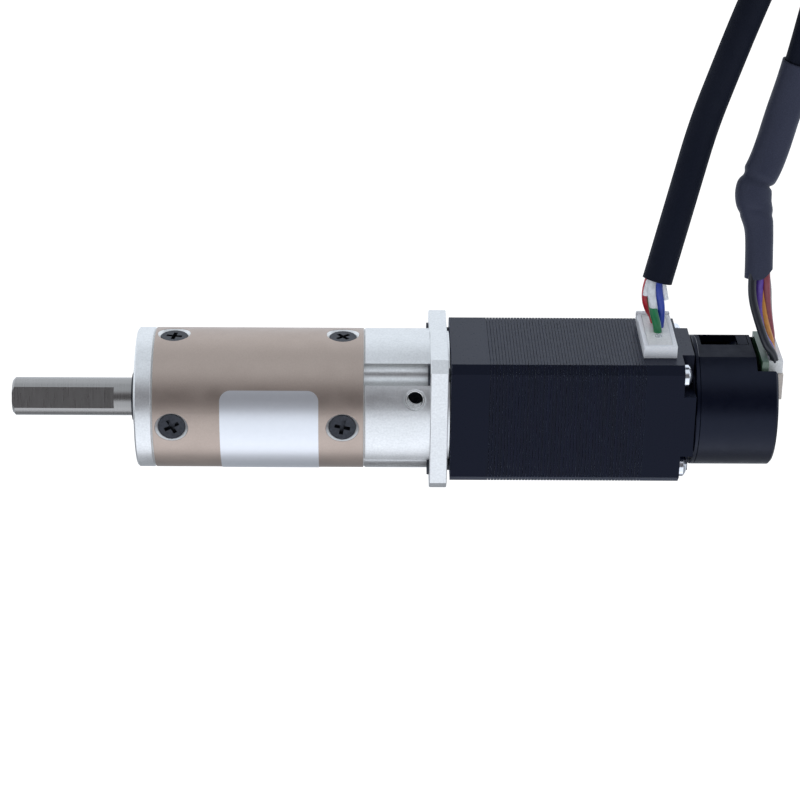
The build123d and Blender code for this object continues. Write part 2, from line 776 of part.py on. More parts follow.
def make_cover():
    """Drum cover with a flat, the latch window and the notch for the connector."""
    radius = encoder_diameter / 2
    body = bar(base_rear, cover_rear, encoder_diameter)
    body = chamfer(body.edges().filter_by(GeomType.CIRCLE).group_by(Axis.X)[-1], 0.35)
    above = encoder_diameter
    body -= block(base_rear, cover_rear, encoder_flat_height, above, -above, above)
    hollow = bar(base_rear, cover_rear - encoder_wall, encoder_diameter - 2 * encoder_wall)
    hollow -= block(base_rear - 1, cover_rear, encoder_flat_height - encoder_wall, above, -above, above)
    body -= hollow
    half = latch_width / 2
    body -= block(base_rear + 0.8, notch_front - 0.6 + part_gap, encoder_flat_height - 2, above,
                  latch_side - half, latch_side + half)
    wide = cover_notch_half_width
    body -= block(notch_front, cover_rear + 1, radius - cover_notch_depth, above, -wide, wide)
    body -= block(cover_rear - 2 * encoder_wall, cover_rear + 1, encoder_socket_low - 0.3, above,
                  -encoder_socket_length / 2 - 0.3, encoder_socket_length / 2 + 0.3)
    return body


def make_board():
    """Round board with a tongue that reaches into the cover's notch."""
    radius = encoder_diameter / 2 - encoder_wall - board_edge_gap
    wide = cover_notch_half_width - 0.6
    body = bar(board_front, board_rear, 2 * radius)
    body += block(board_front, board_rear, 0, encoder_flat_height - 0.1, -wide, wide)
    return body


def make_encoder_header():
    half = encoder_socket_length / 2
    body = block(board_rear, board_rear + encoder_socket_depth, encoder_socket_low, encoder_socket_high,
                 -half, half)
    wall = 0.45
    body -= block(board_rear + wall, board_rear + encoder_socket_depth - wall,
                  encoder_socket_low + 1.2, encoder_socket_high, -half + wall, half - wall)
    return body


def make_encoder_plug():
    half = encoder_socket_length / 2
    wall = 0.45
    inner = block(board_rear + wall + part_gap, board_rear + encoder_socket_depth - wall - part_gap,
                  encoder_socket_low + 1.5, encoder_socket_high + 0.2,
                  -half + wall + part_gap, half - wall - part_gap)
    top = block(board_rear + 0.15, board_rear + encoder_socket_depth - 0.15,
                encoder_socket_high + part_gap, encoder_socket_high + encoder_plug_rise,
                -half + 0.2, half - 0.2)
    return inner + top


def motor_socket_box(inset, low, high):
    front = stack_rear + motor_socket_front
    return block(front + inset, front + motor_socket_width - inset, low, high,
                 -motor_socket_length / 2 + inset, motor_socket_length / 2 - inset)


def make_motor_header():
    """Open-topped shroud sunk in the rear cap."""
    sunk = motor_socket_wall / 2 + slide_fit
    half = motor_width / 2
    body = motor_socket_box(sunk, motor_socket_floor + slide_fit, half)
    body += motor_socket_box(0, half, motor_socket_top)
    body -= motor_socket_box(motor_socket_wall, motor_socket_floor + 0.6, motor_socket_top)
    return body


def motor_wire_places():
    """Z of the four wires in the six-way plug."""
    return [wire_pitch * (0.5 - k) for k in range(4)]


def make_motor_plug():
    body = motor_socket_box(motor_socket_wall + part_gap, motor_socket_floor + 0.9,
                            motor_socket_top - motor_plug_recess)
    middle = stack_rear + motor_socket_front + motor_socket_width / 2
    for k in range(6):
        z = wire_pitch * (k - 2.5)
        hole = bar(0, wire_seat_depth, wire_diameter + 0.15)
        body -= Pos(middle, motor_socket_top - motor_plug_recess - wire_seat_depth, z) * Rot(Z=90) * hole
    return body


# Leads. A lead is a plain tube of straight runs joined by arcs, then a coil.

def corner_radii(points):
    """Radius for each corner: 0.45 of the shorter run over the tangent of half the turn."""
    vectors = [Vector(*b) - Vector(*a) for a, b in zip(points, points[1:])]
    radii = []
    for before, after in zip(vectors, vectors[1:]):
        half_turn = math.radians(before.get_angle(after)) / 2
        radii.append(0.45 * min(before.length, after.length) / math.tan(half_turn))
    return radii


def tube(points, diameter, radii=None):
    path = FilletPolyline(*points, radius=radii or corner_radii(points))
    return sweep(Plane(origin=path @ 0, z_dir=path % 0) * Circle(diameter / 2), path=path)


def coil_radius(diameter):
    """Radius at the middle of a coil's turns."""
    return coil_diameters_across * diameter / 2


def lead_coil(centre, entry_angle, low, diameter):
    """Closed solid of a coil: two turns side by side and most of a turn on top."""
    middle = coil_radius(diameter)
    flat = Circle(middle + diameter) - Circle(middle - diameter)
    ring = Pos(centre[0], centre[1], low) * extrude(flat, diameter)
    swept = revolve(Plane.XZ * Pos(middle, low + 1.5 * diameter) * Rectangle(diameter, diameter),
                    Axis.Z, revolution_arc=coil_top_sweep)
    return ring + Pos(centre[0], centre[1], 0) * Rot(Z=entry_angle + coil_top_start_angle) * swept


def lead_tie(centre, angle):
    """Flat strap round both coils."""
    wall = lead_tie_thickness
    inside = coil_radius(encoder_lead_diameter) - encoder_lead_diameter
    outside = coil_radius(motor_lead_diameter) + motor_lead_diameter
    top = floor_height + 2 * (motor_lead_diameter + encoder_lead_diameter)
    outer = block(inside - wall, outside + wall, -lead_tie_width / 2, lead_tie_width / 2,
                  floor_height, top + wall)
    inner = block(inside, outside, -lead_tie_width, lead_tie_width, floor_height + wall, top)
    return Pos(centre[0], centre[1], 0) * Rot(Z=angle) * (outer - inner)


def far_plug(centre, angle, low, diameter):
    """Plug at the lead's far end, lying on the coil's lower turns."""
    middle = coil_radius(diameter)
    rest = low + diameter
    body = block(middle - far_plug_width / 2, middle + far_plug_width / 2,
                 0, far_plug_length, rest, rest + far_plug_height)
    body = chamfer(body.edges().filter_by(Axis.Y), 0.5)
    for k in range(4):
        x = middle + (k - 1.5) * wire_pitch
        body -= block(x - contact_hole / 2, x + contact_hole / 2, far_plug_length - contact_hole_depth,
                      far_plug_length + 1, rest + (far_plug_height - contact_hole_height) / 2,
                      rest + (far_plug_height + contact_hole_height) / 2)
    return Pos(centre[0], centre[1], 0) * Rot(Z=angle) * body


# Routes of the leads, chosen by hand
motor_lead_points = [
    (80.9, 19.5, -2.0), (82.7, 26.2, -3.5), (85.0, 34.0, -6.2), (87.4, 42.6, -8.6),
    (90.0, 51.0, -8.5), (93.0, 60.2, -8.6), (96.2, 69.2, -8.5), (99.3, 78.4, -8.6), (102.4, 87.2, -8.6)]
encoder_lead_points = [
    (96.9, 19.5, -1.0), (96.4, 27.6, -2.7), (96.9, 35.2, -5.2), (99.4, 44.3, -8.1),
    (101.6, 53.8, -8.4), (103.3, 62.8, -8.6), (105.1, 71.8, -7.9), (106.6, 80.6, -4.7),
    (105.8, 89.2, -0.7), (104.0, 97.1, 0.9), (101.3, 104.6, 0.9)]
shrink_sleeve_end = (101.4, 52.8, -8.37)


def coil_frame(points, diameter):
    """Centre of the coil and the angle where the lead runs into its outer turn."""
    (x0, y0, _), (x1, y1, _) = points[-2], points[-1]
    side = math.atan2(y1 - y0, x1 - x0) + math.pi / 2
    radius = coil_radius(diameter) + diameter / 2
    centre = (x1 + radius * math.cos(side), y1 + radius * math.sin(side))
    return centre, math.degrees(side) + 180


def bundle(starts, lead_points, spread, lift):
    """Thin wires from a plug up to the end of a lead, where they sit in a ring."""
    along = (Vector(*lead_points[1]) - Vector(*lead_points[0])).normalized()
    mouth = Plane(origin=lead_points[0], x_dir=(1, 0, -along.X / along.Z), z_dir=along)
    wires = []
    for k, start in enumerate(starts):
        turn = math.radians(360 / len(starts) * k + 40)
        tip = mouth.from_local_coords((spread * math.cos(turn), spread * math.sin(turn), -part_gap / 2))
        before = tip - along * lift
        rise = (start[0], start[1] + lift, start[2])
        wires.append(tube([start, rise, tuple(before), tuple(tip)], wire_diameter))
    return wires


# Gearbox nodes
save("front_plate", make_front_plate())
save("gear_tube", make_gear_tube())
save("adapter_flange", make_adapter())
save("front_tube_screws", *radial_screws(front_screw_x, [10, 62, 35, 20]))
save("rear_tube_screws", *radial_screws(rear_screw_x, [50, 12, 70, 33]))
save("label", make_label())
save("output_bearing_spacer", collar(bearing_one_front + output_bearing_width + seat_fit,
                                     bearing_two_front - seat_fit,
                                     output_bearing_diameter,
                                     output_bearing_diameter - 2 * output_spacer_wall))
save("gearbox_bearing_outer_races",
     bearing_outer(bearing_one_front, output_bearing_width, output_bearing_diameter, shaft_diameter),
     bearing_outer(bearing_two_front, output_bearing_width, output_bearing_diameter, shaft_diameter),
     bearing_outer(input_bearing_front, input_bearing_width, input_bearing_diameter,
                   input_journal_diameter))
save("output_bearing_inner_races",
     bearing_inner(bearing_one_front, output_bearing_width, output_bearing_diameter, shaft_diameter),
     bearing_inner(bearing_two_front, output_bearing_width, output_bearing_diameter, shaft_diameter))
save("input_bearing_inner_race",
     bearing_inner(input_bearing_front, input_bearing_width, input_bearing_diameter,
                   input_journal_diameter))
save("thrust_plate", collar(thrust_front + seat_fit, adapter_spigot_front - seat_fit,
                            tube_bore - 2 * part_gap, thrust_plate_bore))
save("output_shaft", make_output_shaft())
save("retaining_ring", collar(bearing_one_front - retaining_ring_thickness + seat_fit,
                              bearing_one_front - seat_fit, retaining_ring_diameter,
                              shaft_diameter - 2 * ring_groove_depth + 2 * seat_fit))
save("second_planet_pins", *planet_pins(output_carrier_front + 0.3, second_planet_rear + 0.2))
save("first_planet_pins", *planet_pins(first_carrier_front + 0.3, first_planet_rear + 0.2))
for name, angle in zip("abc", planet_angles):
    save(f"second_planet_{name}", planet(second_planet_front, angle))
    save(f"first_planet_{name}", planet(first_planet_front, angle))
save("first_carrier", make_first_carrier())
save("input_pinion", make_input_pinion())
save("pinion_set_screw", make_set_screw())

# Motor nodes
flange_screw_front = flange_front - flange_screw_head_height
save("flange_screws", *[
    bar(flange_screw_front, flange_front - seat_fit, flange_screw_head_diameter, y, z)
    + bar(flange_screw_front, flange_screw_front + flange_screw_length, small_screw_diameter, y, z)
    for y, z in corner_places()])
save("motor_front_cap", make_front_cap())
save("stator_stack", make_stack())
save("stator_insulators", make_insulator(stack_front - insulator_thickness), make_insulator(stack_rear))
save("stator_windings", *make_windings())
save("motor_rear_cap", make_rear_cap())
case_screw_length = cap_rear - rear_notch_depth - stack_front + case_screw_bite
save("case_screws", *[pan_screw(cap_rear - rear_notch_depth + seat_fit, case_screw_length, y, z)
                      for y, z in corner_places()])
save("motor_shaft", make_motor_shaft())
rotor_middle = (rotor_front + rotor_rear) / 2
save("rotor_core_front", make_rotor_core(rotor_front, rotor_middle - rotor_magnet_length / 2, 0))
save("rotor_magnet", collar(rotor_middle - rotor_magnet_length / 2, rotor_middle + rotor_magnet_length / 2,
                            rotor_diameter - 1.4, motor_shaft_diameter + 2 * seat_fit))
save("rotor_core_rear", make_rotor_core(rotor_middle + rotor_magnet_length / 2, rotor_rear,
                                        180 / rotor_teeth))
save("motor_bearing_outer_races",
     bearing_outer(motor_bearing_one, motor_bearing_width, motor_bearing_diameter, motor_shaft_diameter),
     bearing_outer(motor_bearing_two, motor_bearing_width, motor_bearing_diameter, motor_shaft_diameter))
save("motor_bearing_inner_races",
     bearing_inner(motor_bearing_one, motor_bearing_width, motor_bearing_diameter, motor_shaft_diameter),
     bearing_inner(motor_bearing_two, motor_bearing_width, motor_bearing_diameter, motor_shaft_diameter))
save("wave_washer", collar(motor_bearing_two_rear + 0.1,
                           motor_bearing_two_rear + 0.1 + wave_washer_thickness,
                           motor_bearing_diameter - 0.2, motor_bearing_diameter - 1.8))
save("motor_header", make_motor_header())

# Encoder nodes
save("encoder_base", make_encoder_base())
save("encoder_base_screws", *[
    bar(cap_rear - base_screw_length, base_rear + seat_fit, base_screw_diameter,
        *polar(base_screw_radius, angle))
    + bar(base_rear + seat_fit, base_rear + 0.7, base_screw_head, *polar(base_screw_radius, angle))
    for angle in (90, 270)])
save("encoder_cover", make_cover())
save("encoder_board", make_board())
save("encoder_sensor", block(board_front - sensor_thickness, board_front, -sensor_size / 2, sensor_size / 2,
                             -sensor_size / 2, sensor_size / 2))
holder = bar(cap_rear + 0.5, magnet_front, magnet_holder_diameter)
save("magnet_holder", holder - bar(cap_rear + 0.5, motor_shaft_end + part_gap,
                                   motor_shaft_diameter + 2 * seat_fit))
save("encoder_magnet", bar(magnet_front, magnet_rear, encoder_magnet_diameter))
save("encoder_header", make_encoder_header())
save("encoder_plug", make_encoder_plug())

# Motor lead
motor_plug_x = stack_rear + motor_socket_front + motor_socket_width / 2
wire_seat = motor_socket_top - motor_plug_recess - wire_seat_depth + part_gap
motor_wire_starts = [(motor_plug_x, wire_seat, z) for z in motor_wire_places()]
motor_coil_centre, motor_coil_entry = coil_frame(motor_lead_points, motor_lead_diameter)
motor_lead = tube(motor_lead_points, motor_lead_diameter)
ties = [lead_tie(motor_coil_centre, angle) for angle in tie_angles]
save("motor_plug", make_motor_plug())
save("motor_wires", *bundle(motor_wire_starts, motor_lead_points, 1.2, wire_bundle_lift))
save("motor_lead", motor_lead)
save("motor_lead_coil", lead_coil(motor_coil_centre, motor_coil_entry, floor_height, motor_lead_diameter)
     - motor_lead - ties)
save("motor_far_plug", far_plug(motor_coil_centre, motor_coil_entry + coil_plug_angle, floor_height,
                                motor_lead_diameter))
save("lead_ties", *ties)

# Encoder lead
encoder_plug_x = board_rear + encoder_socket_depth / 2
encoder_wire_starts = [(encoder_plug_x, encoder_socket_high + encoder_plug_rise,
                        encoder_wire_pitch * (2 - k)) for k in range(5)]
encoder_coil_low = floor_height + 2 * motor_lead_diameter
encoder_coil_centre, encoder_coil_entry = coil_frame(encoder_lead_points, encoder_lead_diameter)
encoder_lead = tube(encoder_lead_points, encoder_lead_diameter)
sleeve_points = encoder_lead_points[:4] + [shrink_sleeve_end]
sleeve = tube(sleeve_points, shrink_sleeve_diameter, corner_radii(encoder_lead_points)[:3])
save("encoder_wires", *bundle(encoder_wire_starts, encoder_lead_points, 1.3, wire_bundle_lift))
save("encoder_lead", encoder_lead)
save("encoder_sleeve", sleeve - encoder_lead)
save("encoder_lead_coil", lead_coil(encoder_coil_centre, encoder_coil_entry, encoder_coil_low,
                                    encoder_lead_diameter) - encoder_lead - ties)
save("encoder_far_plug", far_plug(encoder_coil_centre, encoder_coil_entry + coil_plug_angle,
                                  encoder_coil_low, encoder_lead_diameter))
for name, points in (("motor lead", motor_lead_points), ("encoder lead", encoder_lead_points)):
    print(name, "radii", [round(radius, 1) for radius in corner_radii(points)])
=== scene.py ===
import math

import bpy
from bpy.props import FloatProperty, FloatVectorProperty, IntProperty, PointerProperty
from bpy.types import NodeSocket, Operator, Panel, PropertyGroup
from mathutils import Matrix, Vector


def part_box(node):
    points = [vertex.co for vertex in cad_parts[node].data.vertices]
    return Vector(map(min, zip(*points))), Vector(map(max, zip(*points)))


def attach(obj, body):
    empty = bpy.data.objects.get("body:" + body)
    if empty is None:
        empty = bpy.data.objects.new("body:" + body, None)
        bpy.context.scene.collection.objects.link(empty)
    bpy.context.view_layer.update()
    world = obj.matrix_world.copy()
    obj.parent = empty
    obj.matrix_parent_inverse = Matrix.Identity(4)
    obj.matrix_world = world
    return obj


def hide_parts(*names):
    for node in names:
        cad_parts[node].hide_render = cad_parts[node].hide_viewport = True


bl_info = {
    "name": "Geared Stepper Motor",
    "version": (1, 0, 0),
    "blender": (4, 5, 0),
    "location": "View3D > Sidebar > Geared Motor",
    "description": "Finishes, leads and studio for a geared stepper motor with an encoder",
    "category": "Object",
}

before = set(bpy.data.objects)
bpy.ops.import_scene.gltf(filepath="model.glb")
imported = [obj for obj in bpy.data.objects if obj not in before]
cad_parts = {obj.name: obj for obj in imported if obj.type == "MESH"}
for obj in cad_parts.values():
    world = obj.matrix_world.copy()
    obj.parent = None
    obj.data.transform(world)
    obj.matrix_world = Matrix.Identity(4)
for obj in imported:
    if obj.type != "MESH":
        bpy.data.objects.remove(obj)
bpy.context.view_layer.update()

MM = 0.001
COIL_SWEEP = 920.0  # degrees: an outer turn, an inner turn and part of a turn on top
TIE_ANGLES = (80.0, 170.0)
TIE_WALL = 0.4
ACCESS_ANGLE = math.radians(66.0)  # of the adapter's access hole, from +Y towards +Z
COOL = (0.93, 1.0, 1.1, 1.0)  # the daylight tone of the lamps and of what the metal mirrors
WHITE = (1.0, 1.0, 1.0, 1.0)


def linear(hex_colour):
    """An sRGB hex colour as linear red, green, blue and alpha."""
    channels = [int(hex_colour[i:i + 2], 16) / 255 for i in (0, 2, 4)]
    return [c / 12.92 if c <= 0.04045 else ((c + 0.055) / 1.055) ** 2.4 for c in channels] + [1.0]


def box_mm(node):
    """Lowest and highest corners of a CAD node in millimetres."""
    low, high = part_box(node)
    return Vector(low) / MM, Vector(high) / MM


# Places read from the frame, in millimetres
stack_low, stack_high = box_mm("stator_stack")
tube_high = box_mm("gear_tube")[1]
header_low, header_high = box_mm("motor_header")
floor_height = box_mm("adapter_flange")[0].z


def colour(label, note, hex_colour):
    """A colour property of the finishes."""
    return FloatVectorProperty(name=label, description=note, subtype="COLOR", size=4,
                               min=0.0, max=1.0, default=linear(hex_colour))


def length(label, note, millimetres):
    """A length property in metres."""
    return FloatProperty(name=label, description=note, unit="LENGTH", precision=5,
                         min=0.0, default=millimetres * MM)


class MotorFinishes(PropertyGroup):
    """Colours of the visible finishes."""

    silver: colour("Silver anodising", "Front plate, adapter and flange", "E0E1E0")
    warm_grey: colour("Grey anodising", "Gear tube", "B3A499")
    bare_metal: colour("Machined aluminium", "Countersinks cut through the anodising", "E4E4E2")
    steel: colour("Ground steel", "Output shaft and bearing", "9C9A97")
    screw_black: colour("Black oxide", "Gearbox screws", "33353A")
    bright_screw: colour("Nickel plate", "Motor case screws", "E6E9EE")
    cap_black: colour("Black paint", "Motor end caps", "000315")
    lamination: colour("Varnished sheet", "Stator sheets", "000212")
    encoder_black: colour("Black nylon", "Encoder base and cover", "000312")
    label_silver: colour("Silver film", "Label on the gear tube", "E2E4E7")
    header_white: colour("Natural nylon", "Motor header", "F9FCFF")
    plug_white: colour("White nylon", "Plugs", "EFEFEC")
    header_beige: colour("Beige nylon", "Encoder header", "DDD2C6")
    board_green: colour("Solder mask", "Encoder board", "3E5F44")
    jacket_black: colour("Black PVC", "Leads", "151925")
    shrink_black: colour("Heat-shrink", "Sleeve on the encoder lead", "393C4B")


class LeadSizes(PropertyGroup):
    """Sizes of the two leads."""

    motor_diameter: length("Motor lead", "Outside diameter of the motor lead", 4.8)
    encoder_diameter: length("Encoder lead", "Outside diameter of the encoder lead", 4.6)
    wire_diameter: length("Wires", "Diameter of one insulated wire", 1.3)
    motor_length: length("Motor lead length", "From the motor to the far plug", 460.0)
    encoder_length: length("Encoder lead length", "From the sleeve to the far plug", 440.0)
    coil_width: FloatProperty(name="Coil width", description="Width at the middle of the turns, in diameters",
                              min=8.0, default=10.0)
    turn_points: IntProperty(name="Points per turn", description="Control points in one turn of a coil",
                             min=12, default=16)


class StudioSettings(PropertyGroup):
    """Camera and lamps."""

    distance: length("Camera distance", "From the camera to the middle of the motor", 389.3)
    lens: FloatProperty(name="Lens", description="Focal length", unit="CAMERA", min=20.0, default=110.9)
    key_power: FloatProperty(name="Key lamp", description="Large lamp above the foot of the picture",
                             unit="POWER", min=0.0, default=16.2)
    wall_level: FloatProperty(name="Walls", description="Brightness of the white walls round the table",
                              min=0.0, default=0.9)
    ceiling_level: FloatProperty(name="Ceiling", description="Brightness of the ceiling over the table",
                                 min=0.0, default=0.15)


# Node and material helpers

def add(tree, kind, settings=None, inputs=None):
    """Add one node with its settings, its input values and its links."""
    node = tree.nodes.new(kind)
    for name, value in (settings or {}).items():
        setattr(node, name, value)
    for name, value in (inputs or {}).items():
        if isinstance(value, NodeSocket):
            tree.links.new(value, node.inputs[name])
        else:
            node.inputs[name].default_value = value
    return node


def new_material(name, shader):
    """An empty material with one Principled shader set to these values."""
    material = bpy.data.materials.new(name)
    material.use_nodes = True
    tree = material.node_tree
    tree.nodes.clear()
    surface = add(tree, "ShaderNodeBsdfPrincipled", inputs=shader)
    add(tree, "ShaderNodeOutputMaterial", inputs={"Surface": surface.outputs["BSDF"]})
    return material, tree, surface


def millimetres(tree, scale=(1.0, 1.0, 1.0)):
    """Object coordinates in millimetres, stretched by a scale."""
    place = add(tree, "ShaderNodeTexCoord")
    stretch = [value / MM for value in scale]
    mapped = add(tree, "ShaderNodeMapping", inputs={"Vector": place.outputs["Object"], "Scale": stretch})
    return mapped.outputs["Vector"]


def noise(tree, vector, scale, detail=2.0):
    return add(tree, "ShaderNodeTexNoise", inputs={
        "Vector": vector, "Scale": scale, "Detail": detail, "Roughness": 0.55}).outputs[0]


def remap(tree, value, low, high, start=0.3, end=0.7):
    """A value between start and end spread from low to high."""
    return add(tree, "ShaderNodeMapRange", inputs={
        "Value": value, "From Min": start, "From Max": end, "To Min": low, "To Max": high}).outputs[0]


def blend(tree, factor, first, second):
    """Two colours mixed by a factor."""
    return add(tree, "ShaderNodeMix", {"data_type": "RGBA"}, {0: factor, 6: first, 7: second}).outputs[2]


def bump(tree, height, millimetre_depth, strength=1.0):
    return add(tree, "ShaderNodeBump", inputs={
        "Height": height, "Strength": strength, "Distance": millimetre_depth * MM}).outputs[0]


def shade(value, share):
    """A colour made darker or lighter by a share."""
    return [min(1.0, channel * share) for channel in value[:3]] + [1.0]


# Materials, each named for what it is and how its surface was made

def blasted_anodised(name, base, roughness, coarse=3.2, contrast=0.08):
    """Bead-blasted and anodised aluminium. Dents of about 0.3 mm speckle the reflections."""
    material, tree, surface = new_material(name, {"Metallic": 1.0, "Roughness": roughness})
    place = millimetres(tree)
    speckle = noise(tree, place, coarse, 4.0)
    cloud = noise(tree, place, 0.35)
    tone = remap(tree, speckle, 0.0, 1.0)
    tree.links.new(blend(tree, tone, shade(base, 1 - contrast), shade(base, 1 + contrast)),
                   surface.inputs["Base Color"])
    tree.links.new(remap(tree, cloud, roughness - 0.03, roughness + 0.04), surface.inputs["Roughness"])
    tree.links.new(bump(tree, speckle, 0.012), surface.inputs["Normal"])
    return material, tree, surface


def grey_tube(name, base, bare):
    """Warm grey anodising with bright metal where the countersinks cut below the surface."""
    material, tree, surface = blasted_anodised(name, base, 0.4, 4.5, 0.04)
    place = add(tree, "ShaderNodeTexCoord").outputs["Object"]
    axes = add(tree, "ShaderNodeSeparateXYZ", inputs={0: place})
    square = [add(tree, "ShaderNodeMath", {"operation": "MULTIPLY"},
                  {0: axes.outputs[i], 1: axes.outputs[i]}).outputs[0] for i in (1, 2)]
    total = add(tree, "ShaderNodeMath", {"operation": "ADD"}, {0: square[0], 1: square[1]}).outputs[0]
    radius = add(tree, "ShaderNodeMath", {"operation": "SQRT"}, {0: total}).outputs[0]
    surface_radius = tube_high.z * MM
    below = remap(tree, radius, 1.0, 0.0, surface_radius - 0.09 * MM, surface_radius - 0.05 * MM)
    anodised = surface.inputs["Base Color"].links[0].from_socket
    tree.links.new(blend(tree, below, anodised, bare), surface.inputs["Base Color"])
    return material


def ground_steel(name, base, roughness, line_scale=9.0):
    """Cylindrically ground steel. Its fine marks run round the part."""
    material, tree, surface = new_material(name, {"Metallic": 1.0, "Roughness": roughness})
    marks = noise(tree, millimetres(tree, (1.0, 0.03, 0.03)), line_scale, 4.0)
    tree.links.new(blend(tree, remap(tree, marks, 0.0, 1.0), shade(base, 0.93), shade(base, 1.05)),
                   surface.inputs["Base Color"])
    tree.links.new(remap(tree, marks, roughness - 0.04, roughness + 0.05), surface.inputs["Roughness"])
    tree.links.new(bump(tree, marks, 0.001), surface.inputs["Normal"])
    return material


def black_oxide(name, base):
    """Black oxide on steel, dull with worn glints."""
    material, tree, surface = new_material(name, {"Metallic": 0.75, "Roughness": 0.42})
    patch = noise(tree, millimetres(tree), 2.6, 4.0)
    tree.links.new(blend(tree, remap(tree, patch, 0.0, 1.0), shade(base, 0.7), shade(base, 1.5)),
                   surface.inputs["Base Color"])
    tree.links.new(remap(tree, patch, 0.36, 0.5), surface.inputs["Roughness"])
    return material


def plated_screw(name, base):
    """Bright nickel plate, smooth with faint ripples."""
    material, tree, surface = new_material(name, {"Base Color": base, "Metallic": 1.0, "Roughness": 0.16})
    ripple = noise(tree, millimetres(tree), 1.8)
    tree.links.new(remap(tree, ripple, 0.1, 0.24), surface.inputs["Roughness"])
    return material


def cap_paint(name, base):
    """Semi-gloss black paint over a cast cap, with a slight orange peel of 0.4 mm."""
    material, tree, surface = new_material(name, {"Base Color": base, "Roughness": 0.3,
                                                  "Specular IOR Level": 0.17, "Sheen Weight": 0.25,
                                                  "Sheen Roughness": 0.4,
                                                  "Sheen Tint": linear("CFDCFF"),
                                                  "Specular Tint": linear("DCE4FF")})
    place = millimetres(tree)
    peel = noise(tree, place, 2.4, 3.0)
    fine = noise(tree, place, 11.0)
    tree.links.new(blend(tree, remap(tree, fine, 0.0, 1.0), shade(base, 0.75), shade(base, 1.25)),
                   surface.inputs["Base Color"])
    tree.links.new(remap(tree, peel, 0.26, 0.36), surface.inputs["Roughness"])
    tree.links.new(bump(tree, peel, 0.008), surface.inputs["Normal"])
    return material


def varnished_sheet(name, base):
    """Black varnish on sheared electrical steel. Each sheet's edge differs a little."""
    material, tree, surface = new_material(name, {"Base Color": base, "Roughness": 0.32,
                                                  "Specular IOR Level": 0.17, "Sheen Weight": 0.25,
                                                  "Sheen Roughness": 0.4,
                                                  "Sheen Tint": linear("CFDCFF"),
                                                  "Specular Tint": linear("DCE4FF")})
    edge = noise(tree, millimetres(tree, (1.0, 0.02, 0.02)), 2.9)
    smear = noise(tree, millimetres(tree, (0.3, 1.0, 1.0)), 1.6, 3.0)
    tree.links.new(blend(tree, remap(tree, edge, 0.0, 1.0), shade(base, 0.6), shade(base, 1.5)),
                   surface.inputs["Base Color"])
    tree.links.new(remap(tree, smear, 0.26, 0.38), surface.inputs["Roughness"])
    tree.links.new(bump(tree, smear, 0.006), surface.inputs["Normal"])
    return material


def moulded_plastic(name, base, roughness, grain_depth=0.006, grain=5.0, clear=0.0, gloss=0.5,
                    gloss_tone=(1.0, 1.0, 1.0, 1.0), rubbed=0.0):
    """Moulded plastic with a spark-eroded grain of about 0.2 mm.

    clear lets light into it, gloss is its specular level, and rubbed dulls the faces that look along +Y.
    """
    material, tree, surface = new_material(name, {"Base Color": base, "Roughness": roughness,
                                                  "Specular IOR Level": gloss,
                                                  "Specular Tint": gloss_tone})
    place = millimetres(tree)
    texture = noise(tree, place, grain, 3.0)
    tree.links.new(blend(tree, remap(tree, texture, 0.0, 1.0), shade(base, 0.92), shade(base, 1.08)),
                   surface.inputs["Base Color"])
    dull = remap(tree, noise(tree, place, 0.6), roughness - 0.04, roughness + 0.05)
    if rubbed:
        facing = add(tree, "ShaderNodeSeparateXYZ", inputs={
            0: add(tree, "ShaderNodeNewGeometry").outputs["True Normal"]}).outputs[1]
        flat = remap(tree, facing, 0.0, rubbed, 0.93, 0.98)
        dull = add(tree, "ShaderNodeMath", {"operation": "ADD"}, {0: dull, 1: flat}).outputs[0]
    tree.links.new(dull, surface.inputs["Roughness"])
    tree.links.new(bump(tree, texture, grain_depth), surface.inputs["Normal"])
    if clear:
        surface.inputs["Subsurface Weight"].default_value = clear
        surface.inputs["Subsurface Radius"].default_value = (1.0, 1.0, 1.0)
        surface.inputs["Subsurface Scale"].default_value = 1.2 * MM
    return material


def label_film(name, base):
    """Matt silver polyester film. The metal under its coating mirrors the lamps softly."""
    material, tree, surface = new_material(name, {"Base Color": base, "Metallic": 0.9, "Roughness": 0.37})
    film = noise(tree, millimetres(tree), 1.2, 3.0)
    tree.links.new(blend(tree, remap(tree, film, 0.0, 1.0), shade(base, 0.985), shade(base, 1.01)),
                   surface.inputs["Base Color"])
    tree.links.new(bump(tree, film, 0.002), surface.inputs["Normal"])
    return material


def soft_pvc(name, base, roughness=0.58):
    """Extruded soft PVC. Dust and handling leave dull patches of a few millimetres."""
    material, tree, surface = new_material(name, {"Base Color": base, "Roughness": roughness,
                                                  "Specular IOR Level": 0.075})
    place = millimetres(tree)
    dull = noise(tree, place, 0.5, 4.0)
    fine = noise(tree, place, 9.0, 2.0)
    tree.links.new(blend(tree, remap(tree, fine, 0.0, 1.0), shade(base, 0.85), shade(base, 1.2)),
                   surface.inputs["Base Color"])
    tree.links.new(remap(tree, dull, roughness - 0.08, roughness + 0.1), surface.inputs["Roughness"])
    tree.links.new(bump(tree, fine, 0.01), surface.inputs["Normal"])
    return material


